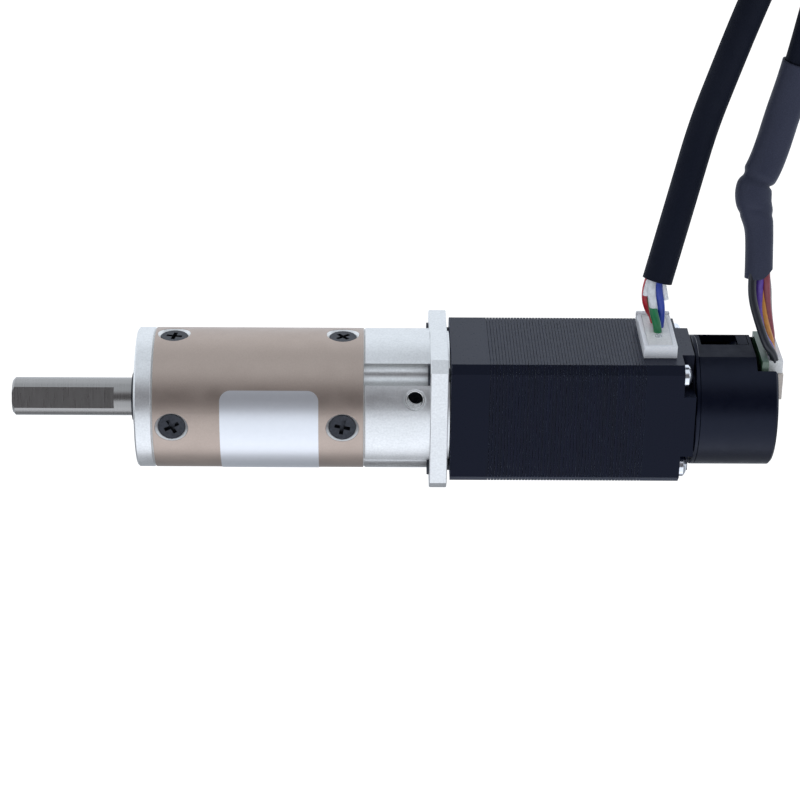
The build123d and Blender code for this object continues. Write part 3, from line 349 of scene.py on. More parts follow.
def solder_mask(name, base):
    """Green solder mask on both sides and glass fibre on the sawn edge, its pale colour darkened to a
    grey-green that paints shade on the rim.
    """
    material, tree, surface = new_material(name, {"Roughness": 0.35})
    place = millimetres(tree)
    tracks = blend(tree, remap(tree, noise(tree, place, 1.4), 0.0, 1.0, 0.48, 0.52),
                   shade(base, 0.8), shade(base, 1.4))
    # The sawn edge's glass fibre gets a dark grey-green instead of its pale colour: painted shade on the rim.
    fibre = blend(tree, noise(tree, place, 5.0), linear("40574A"), linear("7F927F"))
    facing = add(tree, "ShaderNodeSeparateXYZ", inputs={
        0: add(tree, "ShaderNodeNewGeometry").outputs["True Normal"]}).outputs[0]
    side = add(tree, "ShaderNodeMath", {"operation": "ABSOLUTE"}, {0: facing}).outputs[0]
    tree.links.new(blend(tree, remap(tree, side, 0.0, 1.0, 0.4, 0.6), fibre, tracks),
                   surface.inputs["Base Color"])
    return material


def enamelled_copper(name):
    """Copper wire under clear enamel, wound in layers 0.25 mm apart, with painted shade between the turns."""
    base = linear("B4632F")
    material, tree, surface = new_material(name, {"Metallic": 0.9, "Roughness": 0.3})
    turns = add(tree, "ShaderNodeTexWave", {"bands_direction": "Y"},
                {"Vector": millimetres(tree), "Scale": 1.25}).outputs[0]
    # The wave darkens the copper to half its colour in the grooves between the turns: painted shade.
    tree.links.new(blend(tree, turns, shade(base, 0.5), base), surface.inputs["Base Color"])
    tree.links.new(bump(tree, turns, 0.05), surface.inputs["Normal"])
    return material


def paint_nodes(material, *nodes):
    """Give CAD nodes a material in every slot."""
    for name in nodes:
        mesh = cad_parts[name].data
        if not mesh.materials:
            mesh.materials.append(material)
        for index in range(len(mesh.materials)):
            mesh.materials[index] = material


# Modelling helpers

def deselect():
    for thing in bpy.context.selected_objects:
        thing.select_set(False)


def make_active(thing):
    """Select one object alone and make it active."""
    deselect()
    thing.select_set(True)
    bpy.context.view_layer.objects.active = thing


def pick_faces(thing, wanted):
    """Enter edit mode with only the faces that pass a test selected."""
    make_active(thing)
    bpy.ops.object.mode_set(mode="EDIT")
    bpy.ops.mesh.select_mode(type="FACE")
    bpy.ops.mesh.select_all(action="DESELECT")
    bpy.ops.object.mode_set(mode="OBJECT")
    for face in thing.data.polygons:
        face.select = wanted(face)
    bpy.ops.object.mode_set(mode="EDIT")


def pick_edges(thing, wanted):
    """Enter edit mode with only the edges whose two ends pass a test selected."""
    bpy.ops.object.mode_set(mode="EDIT")
    bpy.ops.mesh.select_mode(type="EDGE")
    bpy.ops.mesh.select_all(action="DESELECT")
    bpy.ops.object.mode_set(mode="OBJECT")
    places = [vertex.co for vertex in thing.data.vertices]
    for edge in thing.data.edges:
        edge.select = wanted(places[edge.vertices[0]], places[edge.vertices[1]])
    bpy.ops.object.mode_set(mode="EDIT")


def add_block(name, low, high):
    """A box between two corners in millimetres, its place in its mesh."""
    deselect()
    middle = (Vector(low) + Vector(high)) / 2 * MM
    bpy.ops.mesh.primitive_cube_add(size=1.0, location=middle, scale=(Vector(high) - Vector(low)) * MM)
    block = bpy.context.object
    block.name = name
    bpy.ops.object.transform_apply(location=True, rotation=True, scale=True)
    return block


def round_edges(thing, width, segments=2):
    """Bevel the sharp edges by a width in millimetres and smooth the shading."""
    make_active(thing)
    soft = thing.modifiers.new("soft edges", "BEVEL")
    soft.width = width * MM
    soft.segments = segments
    soft.limit_method = "ANGLE"
    bpy.ops.object.modifier_apply(modifier=soft.name)
    bpy.ops.object.shade_smooth_by_angle(angle=math.radians(35))


def join_pieces(pieces):
    """Join pieces into the last of them."""
    deselect()
    for piece in pieces:
        piece.select_set(True)
    bpy.context.view_layer.objects.active = pieces[-1]
    bpy.ops.object.join()
    return pieces[-1]


def link_object(name, data):
    thing = bpy.data.objects.new(name, data)
    bpy.context.collection.objects.link(thing)
    return thing


def finish_piece(piece, material, body="housing", hidden=()):
    """Give a piece its material, slot and body, and hide the CAD nodes that it stands for."""
    piece.data.materials.clear()
    piece.data.materials.append(material)
    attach(piece, body)
    if hidden:
        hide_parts(*hidden)
    return piece


# Routes of the leads in millimetres, along the CAD's. The encoder lead's jacket starts inside its sleeve.
motor_route = [
    (80.9, 19.5, -2.0), (82.7, 26.2, -3.5), (85.0, 34.0, -6.2), (87.4, 42.6, -8.6),
    (90.0, 51.0, -8.5), (93.0, 60.2, -8.6), (96.2, 69.2, -8.5), (99.3, 78.4, -8.6), (102.4, 87.2, -8.6)]
encoder_route = [
    (96.6, 36.4, -5.7), (97.9, 39.6, -6.9), (99.9, 46.6, -8.1), (101.6, 53.8, -8.4),
    (103.3, 62.8, -8.6), (105.1, 71.8, -7.9), (106.6, 80.6, -4.7), (105.8, 89.2, -0.7),
    (104.0, 97.1, 0.9), (101.3, 104.6, 0.9)]
# The sleeve grips the bare wires, swells over the end of the jacket and folds there.
sleeve_route = [
    (96.4, 19.0, -0.9), (96.45, 23.0, -1.7), (96.4, 27.2, -2.7), (95.9, 29.9, -3.6), (95.15, 32.0, -4.3),
    (95.3, 34.4, -5.0), (96.6, 36.4, -5.7), (97.9, 39.6, -6.9), (99.9, 46.6, -8.1), (101.4, 52.8, -8.37)]

# Insulated wires: name, colour and points from the plug to the lead
motor_wire_routes = (
    ("green", "1F7A4A", [(81.2, 10.4, 1.0), (81.1, 12.6, 1.0), (80.4, 14.9, 0.3), (79.9, 17.3, -1.8),
                         (80.3, 20.3, -3.2), (81.2, 23.0, -3.8)]),
    ("blue", "2B45A8", [(81.4, 10.4, -1.0), (81.65, 12.8, -1.0), (81.6, 15.6, -0.7), (81.0, 18.3, -1.0),
                        (81.2, 21.0, -1.8), (82.0, 24.0, -2.8)]),
    ("white", "E9ECEE", [(81.3, 10.4, -5.0), (81.1, 12.6, -4.4), (80.8, 14.2, -2.0), (80.3, 15.8, 0.1),
                         (79.9, 18.2, -0.8), (80.3, 21.0, -1.8), (81.4, 24.0, -2.9)]),
    ("red", "C02A35", [(81.3, 10.4, -3.0), (80.9, 12.8, -2.6), (79.7, 14.8, -1.8), (79.1, 16.9, -1.6),
                       (79.5, 19.2, -2.6), (80.6, 22.0, -3.2)]))
encoder_wire_routes = (
    ("black", "23252C", [(99.25, 8.0, 3.6), (98.95, 9.7, 3.9), (97.7, 11.1, 3.8), (96.5, 14.2, 2.6),
                         (95.4, 17.6, 1.2), (95.25, 20.6, 0.1), (95.6, 24.0, -1.3)]),
    ("purple", "5A3C9C", [(99.25, 8.0, 2.1), (98.8, 9.8, 2.0), (97.3, 11.8, 1.4), (96.5, 15.3, 0.4),
                          (96.6, 18.0, -0.4), (96.6, 20.6, -0.6), (96.8, 24.0, -1.6)]),
    ("orange", "C98632", [(99.25, 8.0, 0.6), (98.9, 10.2, 0.5), (98.0, 12.6, 0.4), (97.3, 15.3, -0.1),
                          (97.2, 18.0, -0.8), (97.1, 20.6, -1.2), (97.1, 24.0, -2.1)]),
    ("brown", "8A3A44", [(99.3, 8.0, -0.9), (99.2, 10.2, -0.8), (98.7, 12.6, -0.5), (98.1, 15.5, -0.4),
                         (97.8, 18.0, -0.6), (97.6, 20.6, -0.7), (97.4, 24.0, -1.8)]),
    ("dark", "1B1C20", [(99.35, 8.0, -2.4), (99.3, 10.2, -2.6), (98.8, 13.0, -2.4), (98.3, 16.0, -1.8),
                        (98.1, 18.5, -1.7), (97.7, 20.6, -1.9), (97.3, 24.0, -2.7)]))
# Ends of the cotton filler that stand out of the motor lead
filler_routes = (
    [(81.9, 22.0, -2.0), (81.7, 19.5, -1.4), (82.0, 18.2, -1.2), (82.3, 16.7, -1.0)],
    [(80.6, 22.0, -2.6), (79.6, 19.6, -1.8), (79.2, 18.4, -1.1), (79.1, 17.4, -1.0)])


def coil_centre(route, radius):
    """Centre of the put-away coil and the angle at which the lead runs into it."""
    (x0, y0, _), (x1, y1, _) = route[-2], route[-1]
    side = math.atan2(y1 - y0, x1 - x0) + math.pi / 2
    return (x1 + radius * math.cos(side), y1 + radius * math.sin(side)), side + math.pi


def coil_points(route, diameter, width, per_turn):
    """Control points of a coil: an outer turn, an inner turn and part of a turn on top."""
    middle = width * diameter / 2
    (cx, cy), entry = coil_centre(route, middle + diameter / 2)
    step = 360 / per_turn
    outside = 1 / math.cos(math.radians(step / 2))
    points = []
    for k in range(1, round(COIL_SWEEP / step) + 1):
        degrees = k * step
        inward = min(1.0, max(0.0, (degrees - 325) / 45))
        climb = min(1.0, max(0.0, (degrees - 660) / 45))
        reach = (middle + diameter * (0.5 - inward + 0.5 * climb)) * outside
        angle = entry + math.radians(degrees)
        points.append((cx + reach * math.cos(angle), cy + reach * math.sin(angle),
                       route[-1][2] + diameter * climb))
    return points


def nurbs_curve(name, points, diameter):
    """A smooth round curve through the air of these control points, in millimetres."""
    data = bpy.data.curves.new(name, "CURVE")
    data.dimensions = "3D"
    data.bevel_depth = diameter / 2 * MM
    data.bevel_resolution = 5
    data.resolution_u = 8
    data.use_fill_caps = True
    spline = data.splines.new("NURBS")
    spline.points.add(len(points) - 1)
    for point, place in zip(spline.points, points):
        point.co = (*(Vector(place) * MM), 1.0)
    spline.order_u = 3
    spline.use_endpoint_u = True
    return link_object(name, data)


def centreline(points):
    """Points in millimetres along the NURBS spline of these control points."""
    probe = nurbs_curve("probe", points, 0.0)
    mesh = bpy.data.meshes.new_from_object(probe)
    line = [vertex.co / MM for vertex in mesh.vertices]
    data = probe.data
    bpy.data.objects.remove(probe)
    bpy.data.curves.remove(data)
    bpy.data.meshes.remove(mesh)
    return line


def along(line, distance):
    """The point and direction at a distance along a line, in millimetres."""
    for a, b in zip(line, line[1:]):
        run = (b - a).length
        if distance <= run:
            return a + (b - a) * (distance / max(run, 1e-9)), (b - a).normalized()
        distance -= run
    return line[-1], (line[-1] - line[-2]).normalized()


def tube_mesh(name, line, start, end, step, outer, inner, around=32):
    """A tube with a wall along a line. outer and inner give a radius for a distance and an angle."""
    rows = max(2, round((end - start) / step)) + 1
    verts = []
    for shell in (outer, inner):
        for row in range(rows):
            distance = start + (end - start) * row / (rows - 1)
            centre, direction = along(line, distance)
            side = direction.cross(Vector((0, 0, 1))).normalized()
            up = side.cross(direction)
            for k in range(around):
                angle = 2 * math.pi * k / around
                radius, shift = shell(distance, angle)
                spot = centre + (side * math.cos(angle) + up * math.sin(angle)) * radius + direction * shift
                verts.append(spot * MM)
    faces = []
    size = rows * around
    for row in range(rows - 1):
        for k in range(around):
            a, b = row * around + k, row * around + (k + 1) % around
            faces.append((a, b, b + around, a + around))
            faces.append((size + b, size + a, size + a + around, size + b + around))
    for k in range(around):
        nxt = (k + 1) % around
        faces.append((nxt, k, size + k, size + nxt))
        last = (rows - 1) * around
        faces.append((last + k, last + nxt, size + last + nxt, size + last + k))
    mesh = bpy.data.meshes.new(name)
    mesh.from_pydata(verts, [], faces)
    mesh.shade_smooth()
    mesh.update()
    return link_object(name, mesh)


def wire_insulation(name, hex_colour):
    """Glossy extruded PVC insulation."""
    base = linear(hex_colour)
    material, tree, surface = new_material(name, {"Base Color": base, "Roughness": 0.3})
    streak = noise(tree, millimetres(tree), 1.5, 3.0)
    tree.links.new(blend(tree, remap(tree, streak, 0.0, 1.0), shade(base, 0.85), shade(base, 1.12)),
                   surface.inputs["Base Color"])
    return material


class MOTOR_OT_metal_finish(Operator):
    """Finish the gearbox, shafts, gears and bearings"""

    bl_idname = "motor.metal_finish"
    bl_label = "Metal finishes"

    def execute(self, context):
        tint = context.scene.motor_finishes
        silver, _, _ = blasted_anodised("silver anodised aluminium", tint.silver, 0.38)
        paint_nodes(silver, "front_plate", "adapter_flange")
        paint_nodes(grey_tube("grey anodised aluminium", tint.warm_grey, tint.bare_metal), "gear_tube")
        paint_nodes(ground_steel("ground stainless steel", tint.steel, 0.3), "output_shaft", "motor_shaft")
        bearing = ground_steel("ground bearing steel", shade(tint.steel, 0.8), 0.28, 5.0)
        paint_nodes(bearing, "gearbox_bearing_outer_races", "output_bearing_inner_races",
                    "input_bearing_inner_race", "motor_bearing_outer_races", "motor_bearing_inner_races",
                    "first_planet_pins", "second_planet_pins", "thrust_plate", "output_bearing_spacer",
                    "wave_washer")
        gears = ground_steel("hobbed gear steel", shade(tint.steel, 0.9), 0.34, 4.0)
        paint_nodes(gears, "first_carrier", "input_pinion",
                    *[f"{stage}_planet_{letter}" for stage in ("first", "second") for letter in "abc"])
        rotor = ground_steel("stamped rotor steel", shade(tint.steel, 0.6), 0.45, 2.9)
        paint_nodes(rotor, "rotor_core_front", "rotor_core_rear", "rotor_magnet", "encoder_magnet")
        brass = ground_steel("turned brass", linear("C9A55C"), 0.3, 6.0)
        paint_nodes(brass, "magnet_holder")
        screws = black_oxide("black oxide steel", tint.screw_black)
        paint_nodes(screws, "front_tube_screws", "rear_tube_screws", "flange_screws", "retaining_ring",
                    "pinion_set_screw")
        paint_nodes(plated_screw("nickel plated steel", tint.bright_screw), "case_screws",
                    "encoder_base_screws")
        paint_nodes(cap_paint("black painted casting", tint.cap_black), "motor_front_cap", "motor_rear_cap")
        paint_nodes(enamelled_copper("enamelled copper wire"), "stator_windings")
        return {"FINISHED"}


class MOTOR_OT_plastic_finish(Operator):
    """Finish the label, the encoder housing and the connectors"""

    bl_idname = "motor.plastic_finish"
    bl_label = "Plastic finishes"

    def execute(self, context):
        tint = context.scene.motor_finishes
        paint_nodes(label_film("matt silver polyester film", tint.label_silver), "label")
        cover = moulded_plastic("black glass-filled nylon", tint.encoder_black, 0.34, 0.008, 6.0, gloss=0.3,
                                gloss_tone=linear("D4DEFF"), rubbed=0.35)
        paint_nodes(cover, "encoder_base", "encoder_cover", "encoder_sensor")
        white = moulded_plastic("white nylon", tint.plug_white, 0.4, 0.004, 3.0, clear=0.2)
        paint_nodes(white, "encoder_plug", "motor_far_plug", "encoder_far_plug",
                    "stator_insulators")
        paint_nodes(moulded_plastic("beige nylon", tint.header_beige, 0.45, 0.004, 3.0), "encoder_header")
        paint_nodes(solder_mask("green solder mask", tint.board_green), "encoder_board")
        return {"FINISHED"}


class MOTOR_OT_access_thread(Operator):
    """Model the thread that shows in the adapter's access hole"""

    bl_idname = "motor.access_thread"
    bl_label = "Access hole thread"

    def execute(self, context):
        ring_radius, wire_radius, pitch = 1.4, 0.17, 0.22
        mouth_radius = 10.55
        axis = Vector((0.0, math.cos(ACCESS_ANGLE), math.sin(ACCESS_ANGLE)))
        lean = Vector((0.35, math.sin(ACCESS_ANGLE), -math.cos(ACCESS_ANGLE))) * 0.165
        screw_low, screw_high = box_mm("pinion_set_screw")
        place = Vector(((screw_low.x + screw_high.x) / 2, 0.0, 0.0)) + axis * mouth_radius
        turns = []
        for number in reversed(range(5)):
            deselect()
            bpy.ops.mesh.primitive_torus_add(
                location=(place + (lean - axis * pitch) * number) * MM,
                rotation=axis.to_track_quat("Z", "Y").to_euler(),
                major_radius=ring_radius * MM, minor_radius=wire_radius * MM,
                major_segments=64, minor_segments=10)
            turns.append(bpy.context.object)
        thread = join_pieces(turns)
        thread.name = "access_hole_thread"
        bpy.ops.object.transform_apply(location=True, rotation=True, scale=True)
        bpy.ops.object.shade_smooth()
        bare, _, _ = blasted_anodised("tapped bare aluminium", context.scene.motor_finishes.bare_metal, 0.26)
        finish_piece(thread, bare)
        return {"FINISHED"}


class MOTOR_OT_motor_connector(Operator):
    """Model the motor's header, its plug and the drop of clear adhesive"""

    bl_idname = "motor.motor_connector"
    bl_label = "Motor connector"

    def execute(self, context):
        tint = context.scene.motor_finishes
        nylon = moulded_plastic("natural nylon", tint.header_white, 0.33, 0.003, 3.0, clear=0.1)
        wall, gap = 0.7, 0.02
        cup_depth, root_inset = 1.5, 0.38
        post_lift = 0.3
        seat = header_low.y + 0.98
        aside = Vector((0.25, 0.0, 0.0))
        low, high = header_low - aside, header_high - aside
        posts = [add_block("header_post", (left, seat + 0.6, low.z - 0.05),
                           (right, high.y + post_lift, low.z + wall))
                 for left, right in ((low.x - 0.1, low.x + 1.7), (high.x - 0.9, high.x))]
        header = add_block("motor_header_shell", (low.x, seat, low.z), high)
        pick_faces(header, lambda face: face.normal.y > 0.9)
        bpy.ops.mesh.inset(thickness=wall * MM)
        bpy.ops.mesh.extrude_region_move(TRANSFORM_OT_translate={"value": (0, -cup_depth * MM, 0)})
        bpy.ops.object.mode_set(mode="OBJECT")
        pick_faces(header, lambda face: face.normal.y < -0.9)
        bpy.ops.mesh.inset(thickness=root_inset * MM)
        bpy.ops.mesh.extrude_region_move(TRANSFORM_OT_translate={"value": (0, (low.y - seat) * MM, 0)})
        bpy.ops.object.mode_set(mode="OBJECT")
        join_pieces(posts + [header])
        round_edges(header, 0.16)
        finish_piece(header, nylon, hidden=("motor_header",))

        inside = wall + gap
        plug = add_block("motor_plug_block", (low.x + inside, seat + 0.7, low.z + inside),
                         (high.x - inside, high.y - 0.02, high.z - inside))
        round_edges(plug, 0.1)
        white = moulded_plastic("white nylon plug", tint.plug_white, 0.36, 0.004, 3.0, clear=0.25)
        finish_piece(plug, white, hidden=("motor_plug",))

        deselect()
        drop_place = Vector((81.0, header_high.y - 0.1, 2.4))
        bpy.ops.mesh.primitive_uv_sphere_add(segments=24, ring_count=12, radius=0.62 * MM,
                                             location=drop_place * MM, scale=(1.0, 0.55, 1.15))
        drop = bpy.context.object
        drop.name = "adhesive_drop"
        bpy.ops.object.transform_apply(location=True, rotation=True, scale=True)
        bpy.ops.object.shade_smooth()
        clear, tree, surface = new_material("clear adhesive", {
            "Base Color": linear("F4F8FA"), "Roughness": 0.08, "Transmission Weight": 0.7, "IOR": 1.48})
        tree.links.new(bump(tree, noise(tree, millimetres(tree), 2.0), 0.03), surface.inputs["Normal"])
        finish_piece(drop, clear)
        return {"FINISHED"}


class MOTOR_OT_stator_sheets(Operator):
    """Model the stator as a stack of separate sheets"""

    bl_idname = "motor.stator_sheets"
    bl_label = "Stator sheets"

    def execute(self, context):
        sheet_count = 50
        pitch = (stack_high.x - stack_low.x) / sheet_count
        groove = 0.07
        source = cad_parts["stator_stack"]
        stack = link_object("stator_sheets", source.data.copy())
        make_active(stack)
        bpy.ops.object.mode_set(mode="EDIT")
        bpy.ops.mesh.select_all(action="SELECT")
        bpy.ops.mesh.remove_doubles(threshold=1e-7)
        bpy.ops.mesh.select_all(action="SELECT")
        cut = (stack_low.x + pitch - groove) * MM
        bpy.ops.mesh.bisect(plane_co=(cut, 0, 0), plane_no=(1, 0, 0), use_fill=True, clear_outer=True)
        bpy.ops.object.mode_set(mode="OBJECT")
        array = stack.modifiers.new("sheets", "ARRAY")
        array.count = sheet_count
        array.use_relative_offset = False
        array.use_constant_offset = True
        array.constant_offset_displace = (pitch * MM, 0, 0)
        bpy.ops.object.modifier_apply(modifier=array.name)
        stack.data.shade_flat()
        tint = context.scene.motor_finishes
        finish_piece(stack, varnished_sheet("varnished electrical steel", tint.lamination),
                     hidden=("stator_stack",))
        return {"FINISHED"}


def lay_wires(routes, diameter, lead_name, hidden):
    """Insulated wires along their routes."""
    wires = []
    for name, hex_colour, points in routes:
        piece = nurbs_curve(f"{lead_name}_wire_{name}", points, diameter)
        finish_piece(piece, wire_insulation(f"{name} {lead_name} wire insulation", hex_colour),
                     hidden=hidden if not wires else ())
        wires.append(piece)
    return wires


def check_length(points, named):
    """Stop if a lead's line is more than a tenth longer or shorter than its named length."""
    line = centreline(points)
    total = sum((b - a).length for a, b in zip(line, line[1:])) * MM
    if abs(total - named) > 0.1 * named:
        raise RuntimeError(f"the lead measures {total:.3f} m and should be {named:.3f} m")


class MOTOR_OT_motor_lead(Operator):
    """Lay the motor lead with its coil, its four wires and the filler"""

    bl_idname = "motor.motor_lead"
    bl_label = "Motor lead"

    def execute(self, context):
        sizes = context.scene.motor_leads
        tint = context.scene.motor_finishes
        diameter = sizes.motor_diameter / MM
        points = motor_route + coil_points(motor_route, diameter, sizes.coil_width, sizes.turn_points)
        check_length(points, sizes.motor_length)
        lead = nurbs_curve("motor_lead_run", points, diameter)
        finish_piece(lead, soft_pvc("black soft PVC", tint.jacket_black),
                     hidden=("motor_lead", "motor_lead_coil"))
        wires = lay_wires(motor_wire_routes, sizes.wire_diameter / MM, "motor", ("motor_wires",))
        cotton = wire_insulation("white cotton filler", "F2F4F6")
        for number, route in enumerate(filler_routes):
            thread = nurbs_curve(f"motor_lead_filler_{number + 1}", route, 0.9)
            wires.append(finish_piece(thread, cotton))
        return {"FINISHED"}


class MOTOR_OT_encoder_lead(Operator):
    """Lay the encoder lead with its coil, its five wires and the shrunk sleeve"""

    bl_idname = "motor.encoder_lead"
    bl_label = "Encoder lead"

    def execute(self, context):
        sizes = context.scene.motor_leads
        tint = context.scene.motor_finishes
        diameter = sizes.encoder_diameter / MM
        points = encoder_route + coil_points(encoder_route, diameter, sizes.coil_width, sizes.turn_points)
        check_length(points, sizes.encoder_length)
        lead = nurbs_curve("encoder_lead_run", points, diameter)
        finish_piece(lead, soft_pvc("black soft PVC jacket", tint.jacket_black),
                     hidden=("encoder_lead", "encoder_lead_coil"))
        line = centreline(sleeve_route)
        total = sum((b - a).length for a, b in zip(line, line[1:]))
        fold = 16.8
        cut_end = 1.45

        def outside(distance, angle):
            """Radius and slant of the sleeve's surface. It folds just below the end of the jacket."""
            swell = 1 / (1 + math.exp(-(distance - 10.7) / 0.9))
            crease = -0.5 * math.exp(-((distance - fold) / 0.55) ** 2)
            bulge = 0.12 * math.exp(-((distance - fold + 2.4) / 1.4) ** 2)
            dent = -0.16 * math.exp(-((distance - 11.5 - 1.2 * math.cos(angle - 2.4)) / 0.5) ** 2)
            ripple = (0.03 * math.sin(3 * angle + distance * 0.6)
                      + 0.02 * math.sin(5 * angle - distance * 0.35))
            corner = 1.5 * max(0.0, math.cos(angle - 0.3)) ** 3 * math.exp((cut_end - distance) / 1.2)
            return 2.15 + 0.56 * swell + crease + bulge + dent + ripple, corner

        def inside(distance, angle):
            radius, corner = outside(distance, angle)
            return radius - 0.35, corner

        sleeve = tube_mesh("encoder_shrink_sleeve", line, cut_end, total, 0.25, outside, inside, 48)
        finish_piece(sleeve, soft_pvc("black heat-shrink", tint.shrink_black, 0.42),
                     hidden=("encoder_sleeve",))
        wires = lay_wires(encoder_wire_routes, sizes.wire_diameter / MM, "encoder", ("encoder_wires",))
        return {"FINISHED"}


class MOTOR_OT_lead_ties(Operator):
    """Bind both coils with two nylon ties"""

    bl_idname = "motor.lead_ties"
    bl_label = "Lead ties"

    def execute(self, context):
        sizes = context.scene.motor_leads
        nylon = moulded_plastic("black nylon tie", linear("17181C"), 0.4)
        low_wide = sizes.motor_diameter / MM
        high_wide = sizes.encoder_diameter / MM
        middle = sizes.coil_width * low_wide / 2
        (cx, cy), _ = coil_centre(motor_route, middle + low_wide / 2)
        inside = sizes.coil_width * high_wide / 2 - high_wide
        outside = middle + low_wide
        top = floor_height + 2 * (low_wide + high_wide)
        tie_width = 3.0
        for number, degrees in enumerate(TIE_ANGLES):
            turn = math.radians(degrees)
            reach = (inside + outside) / 2
            place = (cx + reach * math.cos(turn), cy + reach * math.sin(turn),
                     (floor_height + TIE_WALL + top) / 2)
            deselect()
            size = Vector((outside - inside, tie_width, top - floor_height - TIE_WALL))
            bpy.ops.mesh.primitive_cube_add(size=1.0, location=Vector(place) * MM, rotation=(0, 0, turn),
                                            scale=size * MM)
            tie = bpy.context.object
            tie.name = f"lead_tie_{number + 1}"
            bpy.ops.object.transform_apply(location=False, rotation=False, scale=True)
            pick_faces(tie, lambda face: abs(face.normal.y) > 0.9)
            bpy.ops.mesh.delete(type="FACE")
            bpy.ops.mesh.select_all(action="SELECT")
            bpy.ops.mesh.select_mode(type="EDGE")
            pick_edges(tie, lambda a, b: abs(a.y - b.y) > 1.0 * MM)
            bpy.ops.mesh.bevel(offset=1.6 * MM, segments=5, affect="EDGES")
            bpy.ops.object.mode_set(mode="OBJECT")
            thick = tie.modifiers.new("thickness", "SOLIDIFY")
            thick.thickness = TIE_WALL * MM
            thick.offset = 1.0
            bpy.ops.object.modifier_apply(modifier=thick.name)
            bpy.ops.object.shade_smooth_by_angle(angle=math.radians(40))
            bpy.ops.object.transform_apply(location=True, rotation=True, scale=True)
            finish_piece(tie, nylon, hidden=("lead_ties",) if number == 0 else ())
        return {"FINISHED"}


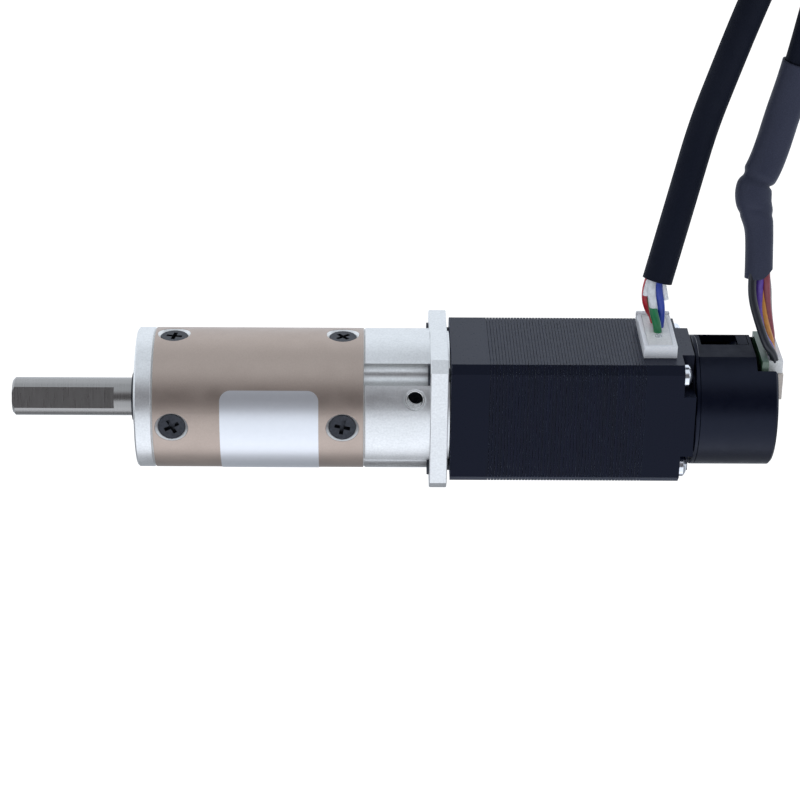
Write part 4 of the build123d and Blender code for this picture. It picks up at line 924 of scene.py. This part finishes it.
class MOTOR_OT_studio(Operator):
    """Set the white floor, the lamps, the world and the camera"""

    bl_idname = "motor.studio"
    bl_label = "Studio"

    def execute(self, context):
        settings = context.scene.motor_studio
        scene = context.scene
        bpy.ops.object.select_all(action="DESELECT")
        bpy.ops.mesh.primitive_plane_add(size=6.0, location=(0.04, 0, (floor_height - 0.02) * MM))
        floor = bpy.context.object
        floor.name = "studio_floor"
        material, tree, surface = new_material("white studio paper", {
            "Base Color": linear("F2F2F2"), "Roughness": 0.9})
        rays = add(tree, "ShaderNodeLightPath")
        seen = add(tree, "ShaderNodeMath", {"operation": "ADD"}, {
            0: rays.outputs["Is Camera Ray"], 1: rays.outputs["Is Glossy Ray"]})
        seen = add(tree, "ShaderNodeMath", {"operation": "ADD", "use_clamp": True}, {
            0: seen.outputs[0], 1: rays.outputs["Is Transmission Ray"]})
        share = add(tree, "ShaderNodeMath", {"operation": "MULTIPLY"}, {0: seen.outputs[0], 1: 0.86})
        # Painted shade in reflections: for glossy rays alone the floor's glow falls to a fifth on the -Y side
        # near the motor and dims far out on the +Y side, while camera rays see an even glow.
        across = add(tree, "ShaderNodeSeparateXYZ", inputs={0: millimetres(tree)}).outputs[1]
        near = remap(tree, across, 0.25, 1.2, -34.0, -6.0)
        far = remap(tree, across, 1.2, 0.85, 24.0, 60.0)
        level = add(tree, "ShaderNodeMath", {"operation": "MINIMUM"}, {0: near, 1: far}).outputs[0]
        level = add(tree, "ShaderNodeMix", {"data_type": "FLOAT"}, {
            0: rays.outputs["Is Glossy Ray"], 2: 1.25, 3: level}).outputs[0]
        tone = blend(tree, rays.outputs["Is Glossy Ray"], WHITE, COOL)
        glow = add(tree, "ShaderNodeEmission", inputs={"Color": tone, "Strength": level})
        mixed = add(tree, "ShaderNodeMixShader", inputs={
            0: share.outputs[0], 1: surface.outputs[0], 2: glow.outputs[0]})
        output = next(node for node in tree.nodes if node.type == "OUTPUT_MATERIAL")
        tree.links.new(mixed.outputs[0], output.inputs["Surface"])
        floor.data.materials.append(material)

        world = bpy.data.worlds.new("studio_world")
        scene.world = world
        world.use_nodes = True
        tree = world.node_tree
        tree.nodes.clear()
        heading = add(tree, "ShaderNodeTexCoord").outputs["Generated"]
        axes = add(tree, "ShaderNodeSeparateXYZ", inputs={0: heading})
        wall = remap(tree, axes.outputs[2], 1.0, 0.0, 0.56, 0.78)
        side = remap(tree, axes.outputs[1], 0.3, 1.0, -0.5, -0.1)
        bright = add(tree, "ShaderNodeMath", {"operation": "MULTIPLY"}, {0: wall, 1: side}).outputs[0]
        dim = remap(tree, bright, settings.ceiling_level, settings.wall_level, 0.0, 1.0)
        rays = add(tree, "ShaderNodeLightPath")
        level = add(tree, "ShaderNodeMix", {"data_type": "FLOAT"}, {
            0: rays.outputs["Is Camera Ray"], 2: dim, 3: 1.0})
        tone = blend(tree, bright, (1.0, 0.96, 1.04, 1.0), COOL)
        tone = blend(tree, rays.outputs["Is Camera Ray"], tone, WHITE)
        sky = add(tree, "ShaderNodeBackground", inputs={"Color": tone, "Strength": level.outputs[0]})
        add(tree, "ShaderNodeOutputWorld", inputs={"Surface": sky.outputs[0]})

        target = Vector((40.0, 0.0, 0.0)) * MM
        place = Vector((0.04, -0.76, 0.93))
        data = bpy.data.lights.new("key_lamp", "AREA")
        data.color = COOL[:3]
        data.energy = settings.key_power
        data.shape = "RECTANGLE"
        data.size, data.size_y = 2.6, 2.0
        lamp = link_object("key_lamp", data)
        lamp.location = place
        lamp.rotation_euler = (target - place).to_track_quat("-Z", "Y").to_euler()

        right = Vector((0.99993, 0.00904, 0.00787))
        up = Vector((-0.00468, 0.89891, -0.43811))
        back = Vector((-0.01104, 0.43804, 0.89889))
        data = bpy.data.cameras.new("photo_camera")
        data.lens = settings.lens
        data.sensor_width = 36.0
        data.shift_x = 0.00868
        data.shift_y = -0.00299
        data.clip_start = 0.01
        camera = link_object("photo_camera", data)
        turn = Matrix((right, up, back)).transposed().to_4x4()
        camera.matrix_world = Matrix.Translation(target + back * settings.distance) @ turn
        scene.camera = camera
        scene.view_settings.view_transform = "Standard"
        return {"FINISHED"}


class MOTOR_PT_sidebar(Panel):
    """Sizes, colours and the steps that build the scene"""

    bl_idname = "MOTOR_PT_sidebar"
    bl_label = "Geared Motor"
    bl_space_type = "VIEW_3D"
    bl_region_type = "UI"
    bl_category = "Geared Motor"

    def draw(self, context):
        for operator in operators:
            self.layout.operator(operator.bl_idname)
        for group in (context.scene.motor_finishes, context.scene.motor_leads, context.scene.motor_studio):
            box = self.layout.box()
            for name in group.__annotations__:
                box.prop(group, name)


groups = {"motor_finishes": MotorFinishes, "motor_leads": LeadSizes, "motor_studio": StudioSettings}
operators = (MOTOR_OT_metal_finish, MOTOR_OT_plastic_finish, MOTOR_OT_stator_sheets, MOTOR_OT_access_thread,
             MOTOR_OT_motor_connector, MOTOR_OT_motor_lead, MOTOR_OT_encoder_lead, MOTOR_OT_lead_ties,
             MOTOR_OT_studio)


def register():
    for name, group in groups.items():
        bpy.utils.register_class(group)
        setattr(bpy.types.Scene, name, PointerProperty(type=group))
    for item in (*operators, MOTOR_PT_sidebar):
        bpy.utils.register_class(item)


def unregister():
    for item in (MOTOR_PT_sidebar, *reversed(operators)):
        bpy.utils.unregister_class(item)
    for name, group in groups.items():
        delattr(bpy.types.Scene, name)
        bpy.utils.unregister_class(group)


def main():
    register()
    for operator in operators:
        family, name = operator.bl_idname.split(".")
        getattr(getattr(bpy.ops, family), name)()


if __name__ == "__main__":
    main()
